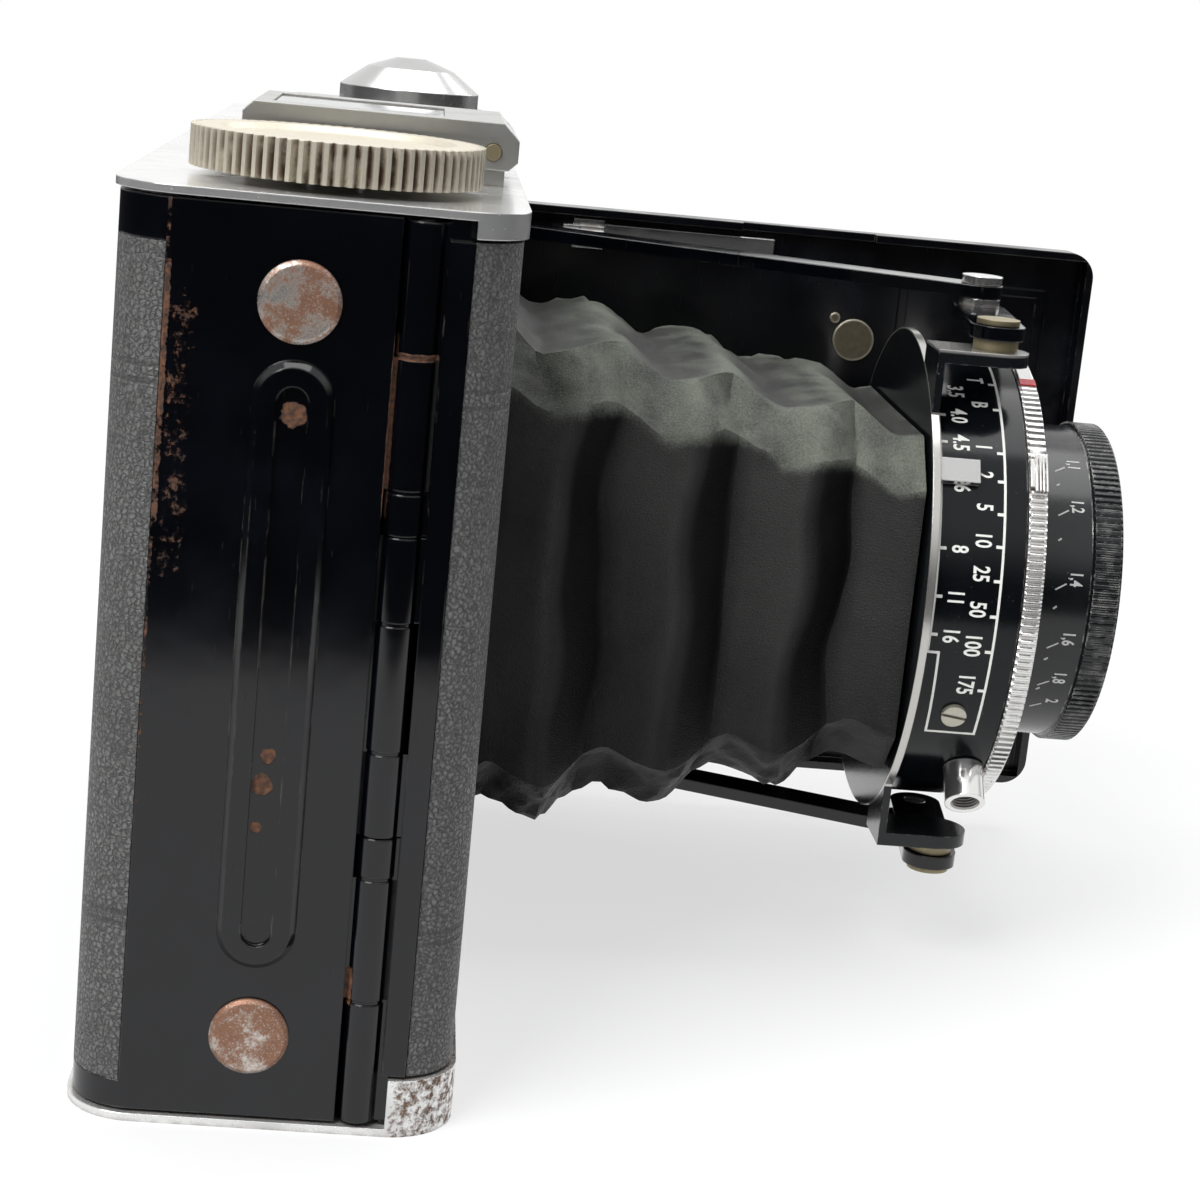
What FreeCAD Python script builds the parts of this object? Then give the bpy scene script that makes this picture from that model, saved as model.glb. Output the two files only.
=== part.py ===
import FreeCAD, Part
import math
import os
import Sketcher
from FreeCAD import Placement, Rotation, Vector

# Folding roll-film camera, 6 x 6 cm on 120 film, with its bed open and its lens run out.
# Frame: +Z up, -Y towards the subject, X along the body. The origin is the tripod socket
# in the middle of the base, and the lens axis is at X = 0. Lengths are in millimetres.

SIZES = {
    # body shell
    "body_length": 133.0, "body_depth": 33.0, "body_height": 80.0, "corner_radius": 5.5,
    "leather": 0.6, "shell_wall": 1.0, "plate_thickness": 0.7, "plate_lip": 0.4,
    "fit_gap": 0.05, "door_gap": 0.3, "lens_height": 40.0,
    # skirts of the two cover plates, measured from the front of the body
    "top_skirt_depth": 1.5, "top_skirt_back": 4.0, "base_skirt_depth": 4.5, "base_skirt_back": 5.5,
    # film chamber
    "film_depth": 5.0, "gate_plate": 1.2, "frame_opening": 56.0, "throat_wall": 1.0,
    "web_end_gap": 2.1, "web_level": 6.0, "web_thickness": 1.0, "web_corner": 4.6,
    "spool_inset": 14.45, "spool_room": 0.65, "spool_y": 0.5, "spool_flange_radius": 12.2, "spool_core_radius": 4.5,
    "spool_bore": 2.52, "spool_flange": 0.8, "spool_play": 0.25, "spool_pin_length": 2.6,
    "spool_slot": 1.9, "shaft_radius": 2.45,
    # door hinge at the near end
    "door_hinge_inset": 1.2, "door_hinge_y": 8.45, "knuckle_radius": 1.6, "pin_radius": 0.75,
    "running_gap": 0.05, "knuckle_gap": 0.2, "band_width": 2.04, "door_rim_low": 2.5,
    "door_rim_high": 3.5, "shell_edge_y": 10.4,
    "door_edge_y": 6.6, "far_edge_y": 6.5, "leaf_width": 1.1,
    # end panel of the door
    "panel_leather_edge": 12.1, "rib_centre_y": 1.2, "rib_low": 14.7, "rib_high": 66.8,
    "rib_width": 6.7, "rib_height": 0.7, "rib_channel": 2.6, "rib_channel_depth": 0.5,
    "disc_radius": 3.41, "disc_height": 0.6, "disc_low": 8.46, "disc_high": 71.55,
    # door furniture
    "pressure_width": 64.0, "pressure_height": 62.0, "pressure_thickness": 0.8, "film_gap": 0.4,
    "spring_strip": 0.25, "spring_width": 6.0, "spring_spread": 18.0, "window_radius": 4.2,
    "window_glass": 1.2, "window_plate": 0.8, "cover_size": 13.6,
    "cover_thickness": 0.7, "cover_rail": 1.2, "cover_travel": 11.0,
    "latch_length": 16.0, "latch_width": 6.0, "latch_height": 1.6, "latch_travel": 2.5,
    # bed
    "bed_hinge_inset": 1.7, "bed_axis_inset": 0.5, "bed_end_gap": 0.6, "bed_width": 66.5,
    "bed_plate": 1.0, "bed_flange": 2.6, "bed_flange_wall": 0.9, "bed_gap": 0.45,
    "bed_heel": 1.6, "bed_corner": 3.0, "bed_knuckle": 1.3, "bed_pin": 0.6, "bed_frame_inset": 5.0,
    "bed_frame_width": 1.0, "bed_frame_height": 0.3, "bed_frame_start": 50.0, "opening_offset": 1.4,
    "bed_knuckle_share": 0.59, "notch_start": 30.0, "notch_end": 46.0, "notch_depth": 1.2,
    "rivet_radius": 2.5, "rivet_height": 0.5, "rivet_along": 45.0, "rivet_inset": 12.95,
    "brace_inset": 3.65, "brace_height": 1.9, "brace_thickness": 1.0, "brace_stand": 0.5,
    "brace_start": 13.5, "brace_end": 34.0, "lug_start": 7.5, "lug_height": 3.0,
    "lug_leaf": 1.0, "lug_step": 1.9, "lug_root": 3.4, "lug_drop": 0.3,
    # struts that carry the lens board
    "strut_inset": 4.7, "strut_y": 11.05, "strut_length": 63.77, "strut_angle": 245.43,
    "strut_half_width": 2.3, "strut_thickness": 1.4, "strut_drop": 3.35, "link_drop": 2.3,
    "pivot_head": 0.55, "strut_pin": 1.4, "link_length": 17.74, "link_angle": 174.73, "link_half_width": 2.8,
    "link_thickness": 1.4, "link_gap": 0.2, "knee_pin": 1.2, "rivet_head": 2.2,
    "rivet_head_height": 0.9,
    # lens board and shutter, measured forwards from the front of the body
    "board_back": 44.5, "board_margin": 7.05, "board_thickness": 0.8, "case_inset": 1.9,
    "case_front": 54.7, "ring_lip": 0.43, "ring_band": 5.3, "ring_width": 1.9,
    "ring_gap": 0.1, "face_front": 56.9, "hub_reach": 2.0, "hub_gap": 0.08, "ear_width": 7.0,
    "ear_drop": 1.2, "ear_root": 7.9, "ear_thickness": 1.4, "ear_pin": 1.2, "ear_spacer": 2.3,
    "rear_cell_radius": 11.0, "rear_cell_length": 3.2, "rear_glass_inset": 2.0,
    "glass_edge": 1.8, "glass_rise": 0.8, "lens_recess": 4.4, "barrel_radius": 17.0, "barrel_back": 58.0, "barrel_front": 63.6,
    "knurl_radius": 17.5, "knurl_front": 66.7, "glass_radius": 9.5, "glass_depth": 3.6,
    "socket_radius": 2.1, "socket_bore": 1.5, "socket_length": 5.0, "socket_root": 0.7,
    "socket_angle": 225.0, "socket_centre": 52.55, "pointer_angle": 144.0, "pointer_width": 2.6,
    "pointer_length": 4.2, "pointer_height": 0.8, "grip_angle": 143.0, "grip_width": 4.6,
    "grip_height": 0.7, "lever_root": 14.5, "lever_reach": 23.6, "lever_width": 2.6, "lever_thickness": 0.9,
    "cocking_angle": 52.0, "release_angle": 262.0, "scale_screw_radius": 1.3,
    "scale_screw_height": 0.4, "scale_screw_level": 49.7, "screw_low_angle": 205.0,
    "screw_high_angle": 97.0,
    # bellows
    "bellows_side_room": 4.8, "bellows_top_room": 1.0, "bellows_front_width": 44.0,
    "bellows_front_height": 42.0, "pleat_depth": 2.6, "ridge_corner": 8.0, "valley_corner": 5.0,
    "bellows_skin": 1.0, "bellows_gap": 0.3,
    # top of the body
    "wheel_radius": 12.45, "wheel_gap": 0.8, "wheel_height": 3.4,
    "tooth_depth": 0.75, "tooth_count": 76, "wheel_recess": 0.5,
    "housing_room": 2.5, "housing_right": 38.0, "housing_front": 15.0, "housing_back": 9.0,
    "housing_height": 3.4, "housing_round": 1.8, "knob_x": 21.5, "knob_y": 5.45,
    "knob_radius": 7.75, "knob_gap": 0.2, "knob_band": 2.0, "knob_shoulder": 4.2, "knob_height": 5.3,
    "knob_flat": 1.7, "knob_shaft": 1.5,
    # folding finder
    "finder_room": 1.1, "finder_width": 22.0, "finder_back": 8.7, "finder_nose": 16.2,
    "finder_clearance": 1.5, "finder_height": 4.2, "finder_plate": 0.9,
    "finder_cheek": 1.0, "finder_nose_cut": 1.5, "finder_pivot_y": 13.9, "finder_pivot_height": 3.1,
    "finder_window_length": 15.6, "finder_window_width": 16.0, "finder_window_back": 6.3,
    "finder_pin": 0.75, "sight_width": 13.0, "sight_length": 9.5, "sight_thickness": 1.0,
    "sight_pivot_y": 7.0, "sight_pivot_height": 2.4, "sight_window": 5.0, "sight_pin": 0.4,
    "finder_base_height": 1.2, "finder_lug": 1.4,
    # base
    "tripod_radius": 3.97, "tripod_bush": 6.5,
}

PLEATS = 5                 # folds of the bellows
DOOR_KNUCKLES = 3          # segments of the door hinge, alternate ones on the door

doc = FreeCAD.newDocument("FoldingCamera")
sheet = doc.addObject("Spreadsheet::Sheet", "Sizes")
pieces = []


class Size:
    """A length that carries its number and the sheet formula that gives it."""

    def __init__(self, number, formula):
        self.number = float(number)
        self.formula = formula

    def __add__(self, other):
        other = as_size(other)
        return Size(self.number + other.number, "(%s + %s)" % (self.formula, other.formula))

    def __radd__(self, other):
        return as_size(other) + self

    def __sub__(self, other):
        other = as_size(other)
        return Size(self.number - other.number, "(%s - %s)" % (self.formula, other.formula))

    def __rsub__(self, other):
        return as_size(other) - self

    def __mul__(self, other):
        other = as_size(other)
        return Size(self.number * other.number, "(%s * %s)" % (self.formula, other.formula))

    def __rmul__(self, other):
        return as_size(other) * self

    def __truediv__(self, other):
        other = as_size(other)
        return Size(self.number / other.number, "(%s / %s)" % (self.formula, other.formula))

    def __neg__(self):
        return Size(-self.number, "(0 - %s)" % self.formula)


def as_size(value):
    return value if isinstance(value, Size) else Size(value, repr(float(value)))


def cosine(angle):
    """Cosine of an angle in degrees."""
    return Size(math.cos(math.radians(angle.number)), "cos(%s * 1 deg)" % angle.formula)


def sine(angle):
    """Sine of an angle in degrees."""
    return Size(math.sin(math.radians(angle.number)), "sin(%s * 1 deg)" % angle.formula)


class Dimensions:
    """The driving dimensions by name, each tied to its cell of the sheet."""


def fill_sheet():
    dims = Dimensions()
    for row, (name, number) in enumerate(SIZES.items(), start=1):
        sheet.set("A%d" % row, name)
        sheet.set("B%d" % row, str(number))
        sheet.setAlias("B%d" % row, name)
        setattr(dims, name, Size(number, "Sizes." + name))
    doc.recompute()
    return dims


D = fill_sheet()


# ---------------------------------------------------------------- modelling helpers

def bind(thing, path, value):
    """Ties a property to its formula where it depends on the sheet."""
    value = as_size(value)
    if "Sizes." in value.formula:
        thing.setExpression(path, value.formula)


def keep(thing, name):
    """Names an object as a piece of the camera."""
    thing.Label = name
    pieces.append(thing)
    return thing


def place(thing, x, y, z, rotation=None):
    """Puts an object at a point, and ties the point to the sheet."""
    x, y, z = as_size(x), as_size(y), as_size(z)
    thing.Placement = Placement(Vector(x.number, y.number, z.number), rotation or Rotation())
    bind(thing, "Placement.Base.x", x)
    bind(thing, "Placement.Base.y", y)
    bind(thing, "Placement.Base.z", z)
    return thing


def new_body(name):
    return doc.addObject("PartDesign::Body", name)


def origin_plane(body, role):
    return [item for item in body.Origin.OriginFeatures if item.Role == role][0]


def pin_point(sketch, geometry, point, x, y):
    """Constrains one point of a sketch to its two coordinates."""
    for kind, value in (("DistanceX", as_size(x)), ("DistanceY", as_size(y))):
        index = sketch.addConstraint(Sketcher.Constraint(kind, geometry, point, value.number))
        bind(sketch, "Constraints[%d]" % index, value)


def radius_of(sketch, geometry, radius):
    index = sketch.addConstraint(Sketcher.Constraint("Radius", geometry, radius.number))
    bind(sketch, "Constraints[%d]" % index, radius)


def polygon(*corners):
    """A closed outline of straight lines through the corners."""
    def draw(sketch):
        first = sketch.GeometryCount
        count = len(corners)
        spots = [Vector(as_size(x).number, as_size(y).number, 0) for x, y in corners]
        for i in range(count):
            sketch.addGeometry(Part.LineSegment(spots[i], spots[(i + 1) % count]), False)
        for i in range(count):
            after = first + (i + 1) % count
            sketch.addConstraint(Sketcher.Constraint("Coincident", first + i, 2, after, 1))
        for i, (x, y) in enumerate(corners):
            pin_point(sketch, first + i, 1, x, y)
    return draw


def rectangle(x0, x1, y0, y1):
    return polygon((x0, y0), (x1, y0), (x1, y1), (x0, y1))


def circle(x, y, radius):
    radius = as_size(radius)

    def draw(sketch):
        centre = Vector(as_size(x).number, as_size(y).number, 0)
        index = sketch.addGeometry(Part.Circle(centre, Vector(0, 0, 1), radius.number), False)
        pin_point(sketch, index, 3, x, y)
        radius_of(sketch, index, radius)
    return draw


def slot(x0, y0, x1, y1, radius):
    """An outline with two round ends, centred on the two points."""
    radius = as_size(radius)

    def draw(sketch):
        start = Vector(as_size(x0).number, as_size(y0).number, 0)
        end = Vector(as_size(x1).number, as_size(y1).number, 0)
        turn = math.atan2(end.y - start.y, end.x - start.x)
        side = Vector(-math.sin(turn), math.cos(turn), 0) * radius.number
        up = Vector(0, 0, 1)
        quarter = math.pi / 2
        near = sketch.addGeometry(Part.ArcOfCircle(
            Part.Circle(start, up, radius.number), turn + quarter, turn + 3 * quarter), False)
        low = sketch.addGeometry(Part.LineSegment(start - side, end - side), False)
        far = sketch.addGeometry(Part.ArcOfCircle(
            Part.Circle(end, up, radius.number), turn - quarter, turn + quarter), False)
        high = sketch.addGeometry(Part.LineSegment(end + side, start + side), False)
        for one, other in ((near, low), (low, far), (far, high), (high, near)):
            sketch.addConstraint(Sketcher.Constraint("Tangent", one, 2, other, 1))
        sketch.addConstraint(Sketcher.Constraint("Equal", near, far))
        pin_point(sketch, near, 3, x0, y0)
        pin_point(sketch, far, 3, x1, y1)
        radius_of(sketch, near, radius)
    return draw


def rounded_rectangle(half_x, half_y, radius):
    """A rectangle about the origin with four round corners."""
    radius = as_size(radius)

    def draw(sketch):
        arcs = []
        flats = []
        for turn, (sx, sy) in enumerate(((1, 1), (-1, 1), (-1, -1), (1, -1))):
            centre = Vector(sx * (half_x - radius).number, sy * (half_y - radius).number, 0)
            start = turn * math.pi / 2
            curve = Part.Circle(centre, Vector(0, 0, 1), radius.number)
            arcs.append(sketch.addGeometry(
                Part.ArcOfCircle(curve, start, start + math.pi / 2), False))
        for i in range(4):
            start = sketch.getPoint(arcs[i], 2)
            end = sketch.getPoint(arcs[(i + 1) % 4], 1)
            flats.append(sketch.addGeometry(Part.LineSegment(start, end), False))
        for i in range(4):
            sketch.addConstraint(Sketcher.Constraint("Tangent", arcs[i], 2, flats[i], 1))
            sketch.addConstraint(Sketcher.Constraint("Tangent", flats[i], 2, arcs[(i + 1) % 4], 1))
        for i, (sx, sy) in enumerate(((1, 1), (-1, 1), (-1, -1), (1, -1))):
            pin_point(sketch, arcs[i], 3, sx * (half_x - radius), sy * (half_y - radius))
        for i in range(3):
            sketch.addConstraint(Sketcher.Constraint("Equal", arcs[i], arcs[i + 1]))
        radius_of(sketch, arcs[0], radius)
    return draw


def sketch_on(body, role, level, *outlines):
    """A sketch on an origin plane of the body, moved along the plane's normal."""
    level = as_size(level)
    sketch = body.newObject("Sketcher::SketchObject", body.Name + "Sketch")
    sketch.AttachmentSupport = [(origin_plane(body, role), "")]
    sketch.MapMode = "FlatFace"
    sketch.AttachmentOffset = Placement(Vector(0, 0, level.number), Rotation())
    bind(sketch, "AttachmentOffset.Base.z", level)
    for draw in outlines:
        draw(sketch)
    return sketch


def pad(body, sketch, length):
    """Adds material along the sketch's normal."""
    length = as_size(length)
    feature = body.newObject("PartDesign::Pad", body.Name + "Pad")
    feature.Profile = (sketch, [""])
    feature.Length = length.number
    bind(feature, "Length", length)
    body.Tip = feature
    return feature


def pocket(body, sketch, length):
    """Removes material along the sketch's normal, and checks that some went."""
    length = as_size(length)
    doc.recompute()
    before = body.Shape.Volume
    feature = body.newObject("PartDesign::Pocket", body.Name + "Pocket")
    feature.Profile = (sketch, [""])
    feature.Reversed = True
    feature.Length = length.number
    bind(feature, "Length", length)
    body.Tip = feature
    doc.recompute()
    if not body.Shape.Volume < before - 1e-6:
        raise ValueError("nothing was cut from " + body.Name)
    return feature


def revolve(body, sketch):
    """Turns a profile once round the sketch's vertical axis."""
    feature = body.newObject("PartDesign::Revolution", body.Name + "Turn")
    feature.Profile = (sketch, [""])
    feature.ReferenceAxis = (sketch, ["V_Axis"])
    feature.Angle = 360
    body.Tip = feature
    return feature


def polar_pattern(body, sketch, original, count):
    """Repeats a feature round the normal of the sketch's plane."""
    feature = body.newObject("PartDesign::PolarPattern", body.Name + "Ring")
    feature.Originals = [original]
    feature.Axis = (sketch, ["N_Axis"])
    feature.Angle = 360
    feature.Occurrences = int(count.number)
    bind(feature, "Occurrences", count)
    body.Tip = feature
    return feature


def dress(body, kind, radius, wanted):
    """A fillet or chamfer on the edges that the test picks."""
    radius = as_size(radius)
    doc.recompute()
    base = body.Tip
    names = ["Edge%d" % (i + 1) for i, edge in enumerate(base.Shape.Edges) if wanted(edge)]
    if not names:
        raise ValueError("no edge to dress on " + body.Name)
    feature = body.newObject("PartDesign::" + kind, body.Name + kind)
    feature.Base = (base, names)
    path = "Radius" if kind == "Fillet" else "Size"
    setattr(feature, path, radius.number)
    bind(feature, path, radius)
    body.Tip = feature
    return feature


def near_number(one, other, slack=0.02):
    return abs(one - as_size(other).number) < slack


def upright_at(*spots):
    """Picks the edges along Z that stand at the given X and Y."""
    def wanted(edge):
        if len(edge.Vertexes) != 2:
            return False
        low, high = [vertex.Point for vertex in edge.Vertexes]
        flat = abs(low.x - high.x) < 1e-6 and abs(low.y - high.y) < 1e-6
        return flat and any(near_number(low.x, x) and near_number(low.y, y) for x, y in spots)
    return wanted


def rim_at(axis, level):
    """Picks the edges that lie wholly in the plane across the axis at the level."""
    def wanted(edge):
        low, high = getattr(edge.BoundBox, axis + "Min"), getattr(edge.BoundBox, axis + "Max")
        return near_number(low, level) and near_number(high, level)
    return wanted


def block(name, x0, x1, y0, y1, z0, z1):
    """A box between pairs of faces."""
    box = doc.addObject("Part::Box", name)
    for side, low, high in (("Length", x0, x1), ("Width", y0, y1), ("Height", z0, z1)):
        span = as_size(high) - as_size(low)
        setattr(box, side, span.number)
        bind(box, side, span)
    return place(box, x0, y0, z0)


def rod(name, x, y, z, radius, length, direction=Vector(0, 0, 1)):
    """A round bar from a point along a direction."""
    radius, length = as_size(radius), as_size(length)
    bar = doc.addObject("Part::Cylinder", name)
    bar.Radius = radius.number
    bar.Height = length.number
    bind(bar, "Radius", radius)
    bind(bar, "Height", length)
    return place(bar, x, y, z, Rotation(Vector(0, 0, 1), direction))


def fuse(name, *shapes):
    joined = doc.addObject("Part::MultiFuse", name)
    joined.Shapes = list(shapes)
    joined.Refine = True
    return joined


def cut(name, base, *tools):
    tool = tools[0] if len(tools) == 1 else fuse(name + "Tools", *tools)
    result = doc.addObject("Part::Cut", name)
    result.Base = base
    result.Tool = tool
    return result


def group(name, *shapes):
    """Separate solids that share one node."""
    bundle = doc.addObject("Part::Compound", name)
    bundle.Links = list(shapes)
    return bundle


def mirrored(name, source):
    """The same shape below the lens axis as above it."""
    twin = doc.addObject("Part::Mirroring", name)
    twin.Source = source
    twin.Normal = Vector(0, 0, 1)
    twin.Base = Vector(0, 0, D.lens_height.number)
    bind(twin, "Base.z", D.lens_height)
    return twin


def turned(name, outline, x, y, z, rotation=None):
    """A turned piece: radius and height pairs, revolved, then placed."""
    body = new_body(name)
    revolve(body, sketch_on(body, "XZ_Plane", 0, polygon(*outline)))
    return place(body, x, y, z, rotation)


FORWARDS = Rotation(Vector(1, 0, 0), 90)        # turns a piece's own Z towards the subject
SIDEWAYS = Rotation(Vector(0, 1, 0), -90)       # turns a piece's own Z towards the near end


# ---------------------------------------------------------------- shared places

half_length = D.body_length / 2
half_depth = D.body_depth / 2
shell_x = half_length - D.leather
shell_y = half_depth - D.leather
inner_x = shell_x - D.shell_wall
inner_y = shell_y - D.shell_wall
floor = D.plate_thickness
ceiling = D.body_height - D.plate_thickness
axis_z = D.lens_height
bed_low = axis_z - D.bed_width / 2
bed_high = axis_z + D.bed_width / 2
opening_low = bed_low - D.bed_gap
opening_high = bed_high + D.bed_gap
bed_axis_y = -(half_depth - D.bed_axis_inset)
film_y = half_depth - D.film_depth
spool_x = half_length - D.spool_inset
opening_near = spool_x - D.spool_flange_radius - D.spool_room - D.throat_wall
opening_far = opening_near - D.opening_offset
bed_axis_x = opening_far - D.bed_hinge_inset
bed_length = bed_axis_x + opening_near - D.bed_end_gap
strut_x = bed_axis_x - D.strut_inset
strut_level = bed_high - D.strut_drop
link_level = strut_level - D.link_drop
throat_low = opening_low - D.door_gap
throat_high = opening_high + D.door_gap
finder_left = spool_x - D.wheel_radius - D.finder_room
web_half_length = inner_x - D.web_end_gap
board_radius = D.bed_width / 2 - D.board_margin
case_radius = board_radius - D.case_inset
ring_radius = case_radius + D.ring_lip
ring_bore = case_radius - D.ring_band
wheel_bottom = D.body_height + D.wheel_gap
wheel_top = wheel_bottom + D.wheel_height
housing_top = D.body_height + D.housing_height
knob_bottom = housing_top + D.knob_gap
finder_cheek_bottom = D.body_height + D.finder_clearance
finder_top = finder_cheek_bottom + D.finder_height
finder_plate_bottom = finder_top - D.finder_plate
finder_pivot_z = D.body_height + D.finder_pivot_height
sight_pivot_z = D.body_height + D.sight_pivot_height
finder_base_top = D.body_height + D.finder_base_height
hinge_x = -(half_length - D.door_hinge_inset)
hinge_y = -D.door_hinge_y
web_low = D.web_level + D.web_thickness
web_high = D.body_height - D.web_level - D.web_thickness


def front(distance):
    """Y of a place that lies so far in front of the body's front face."""
    return -(half_depth + distance)


def hoop(body, low, height, outside, inside, *away):
    """A band round the whole camera, between two insets, less the outlines cut from it."""
    outlines = [rounded_rectangle(half_length - inset, half_depth - inset, D.corner_radius - inset)
                for inset in (as_size(outside), as_size(inside))]
    pad(body, sketch_on(body, "XY_Plane", low, *outlines), height)
    for outline in away:
        pocket(body, sketch_on(body, "XY_Plane", low - 1, outline), height + 2)


def knuckle_spans(first):
    """Heights of every second segment of the door hinge, counted from the bottom."""
    low, high = floor + D.door_gap, ceiling - D.door_gap
    step = (high - low) / DOOR_KNUCKLES
    for i in range(first, DOOR_KNUCKLES, 2):
        yield low + step * i + D.knuckle_gap / 2, low + step * (i + 1) - D.knuckle_gap / 2


def add_knuckles(body, first, leaf_y0, leaf_y1, bore_radius):
    """Barrels on the hinge axis, each with the leaf that joins it to its wall."""
    for low, high in knuckle_spans(first):
        barrel = sketch_on(body, "XY_Plane", low, circle(hinge_x, hinge_y, D.knuckle_radius))
        pad(body, barrel, high - low)
        leaf = sketch_on(body, "XY_Plane", low,
                         rectangle(-shell_x, -shell_x + D.leaf_width, leaf_y0, leaf_y1))
        pad(body, leaf, high - low)
    bore = sketch_on(body, "XY_Plane", 0, circle(hinge_x, hinge_y, bore_radius))
    pocket(body, bore, D.body_height)


# ---------------------------------------------------------------- body

def make_front_shell():
    body = new_body("front_shell")
    outline = polygon(
        (-shell_x, -D.shell_edge_y), (-shell_x, -shell_y), (shell_x, -shell_y),
        (shell_x, -D.far_edge_y), (inner_x, -D.far_edge_y), (inner_x, -inner_y),
        (-inner_x, -inner_y), (-inner_x, -D.shell_edge_y))
    pad(body, sketch_on(body, "XY_Plane", floor, outline), ceiling - floor)
    outer = D.corner_radius - D.leather
    dress(body, "Fillet", outer, upright_at((-shell_x, -shell_y), (shell_x, -shell_y)))
    dress(body, "Fillet", outer - D.shell_wall,
          upright_at((-inner_x, -inner_y), (inner_x, -inner_y)))
    window = rectangle(-opening_near, opening_far, opening_low, opening_high)
    pocket(body, sketch_on(body, "XZ_Plane", inner_y - 1, window), D.shell_wall + 3)
    band = rectangle(-half_length, -shell_x + D.fit_gap,
                     -(D.shell_edge_y + D.band_width), -D.shell_edge_y)
    pad(body, sketch_on(body, "XY_Plane", floor + D.base_skirt_depth + D.door_gap, band),
        ceiling - floor - D.base_skirt_depth - D.top_skirt_depth - D.door_gap * 2)
    add_knuckles(body, 0, -D.shell_edge_y - D.fit_gap, hinge_y, D.pin_radius)
    add_bed_lugs(body)
    keep(body, "front_shell")


def bed_knuckle_ends():
    """Heights where the bed's own barrel starts and stops on its pin."""
    reach = D.bed_width * D.bed_knuckle_share / 2
    return axis_z - reach, axis_z + reach


def add_bed_lugs(body):
    """Two barrels at the far rim of the opening, which hold the bed's pin."""
    low, high = bed_knuckle_ends()
    for bottom, top in ((bed_low, low - D.knuckle_gap), (high + D.knuckle_gap, bed_high)):
        barrel = sketch_on(body, "XY_Plane", bottom, circle(bed_axis_x, bed_axis_y, D.bed_knuckle))
        pad(body, barrel, top - bottom)
        leaf = rectangle(bed_axis_x, opening_far + D.fit_gap, -shell_y, -inner_y)
        pad(body, sketch_on(body, "XY_Plane", bottom, leaf), top - bottom)
    bore = circle(bed_axis_x, bed_axis_y, D.bed_pin)
    pocket(body, sketch_on(body, "XY_Plane", bed_low - 1, bore), D.bed_width + 2)


def make_hinge_pins():
    pin = rod("DoorPin", hinge_x, hinge_y, floor + D.door_gap, D.pin_radius,
              ceiling - floor - D.door_gap * 2)
    keep(pin, "door_hinge_pin")
    bed_pin = rod("BedPin", bed_axis_x, bed_axis_y, bed_low, D.bed_pin, D.bed_width)
    keep(bed_pin, "bed_hinge_pin")


def throat_sides():
    """X of the outer faces of the light-tight throat behind the opening."""
    return -(opening_near + D.throat_wall), opening_far + D.throat_wall + D.leather


def make_film_chamber():
    """The throat round the bellows, the gate that the film lies on, and the spool webs."""
    left, right = throat_sides()
    wall = D.throat_wall
    body = new_body("film_chamber")
    outside = rectangle(left, right, throat_low - wall, throat_high + wall)
    inside = rectangle(left + wall, right - wall, throat_low, throat_high)
    pad(body, sketch_on(body, "XZ_Plane", D.gate_plate - film_y, outside, inside),
        inner_y + film_y - D.gate_plate)
    keep(body, "film_chamber")

    half_frame = D.frame_opening / 2
    gate = new_body("film_gate")
    pad(gate, sketch_on(gate, "XZ_Plane", -film_y, rectangle(left, right, floor, ceiling),
                        rectangle(-half_frame, half_frame, axis_z - half_frame, axis_z + half_frame)),
        D.gate_plate)
    keep(gate, "film_gate")

    webs = []
    for name, level in (("Low", D.web_level), ("High", web_high)):
        for side, inner, outer in (("Near", left, -web_half_length), ("Far", right, web_half_length)):
            webs.append(spool_web("Web" + side + name, level, inner, outer))
    keep(group("spool_webs", *webs), "spool_webs")


def spool_web(name, level, inner, outer):
    """One shelf across the end of a spool, round at its outer corners."""
    body = new_body(name)
    ahead = -inner_y + D.door_gap
    pad(body, sketch_on(body, "XY_Plane", level, rectangle(inner, outer, ahead, film_y)),
        D.web_thickness)
    dress(body, "Fillet", D.web_corner, upright_at((outer, ahead), (outer, film_y)))
    if name == "WebNearHigh":
        shaft = circle(-spool_x, -D.spool_y, D.shaft_radius + D.running_gap)
        pocket(body, sketch_on(body, "XY_Plane", level - 1, shaft), D.web_thickness + 2)
    return body


def make_spool_pins():
    pins = []
    for name, x, z, way in (("PinNear", -spool_x, web_low, 1), ("PinFarLow", spool_x, web_low, 1),
                            ("PinFarHigh", spool_x, web_high, -1)):
        pins.append(rod(name, x, -D.spool_y, z, D.shaft_radius, D.spool_pin_length,
                        Vector(0, 0, way)))
    keep(group("spool_pins", *pins), "spool_pins")


def cover_plate(name, level, skirt_level, skirt_depth, skirt_back):
    """A chromed cover plate that turns down round the front of the body."""
    body = new_body(name)
    outside_x, outside_y = half_length + D.plate_lip, half_depth + D.plate_lip
    inside_x, inside_y = shell_x + D.fit_gap, shell_y + D.fit_gap
    outer = D.corner_radius + D.plate_lip
    band = sketch_on(body, "XY_Plane", skirt_level, rounded_rectangle(outside_x, outside_y, outer),
                     rounded_rectangle(inside_x, inside_y, D.corner_radius - D.leather + D.fit_gap))
    pad(body, band, skirt_depth)
    behind = rectangle(-outside_x - 1, outside_x + 1, -(half_depth - skirt_back), outside_y + 1)
    pocket(body, sketch_on(body, "XY_Plane", skirt_level - 1, behind), skirt_depth + 2)
    plate = rounded_rectangle(outside_x, outside_y, outer)
    pad(body, sketch_on(body, "XY_Plane", level, plate), D.plate_thickness)
    return body


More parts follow.
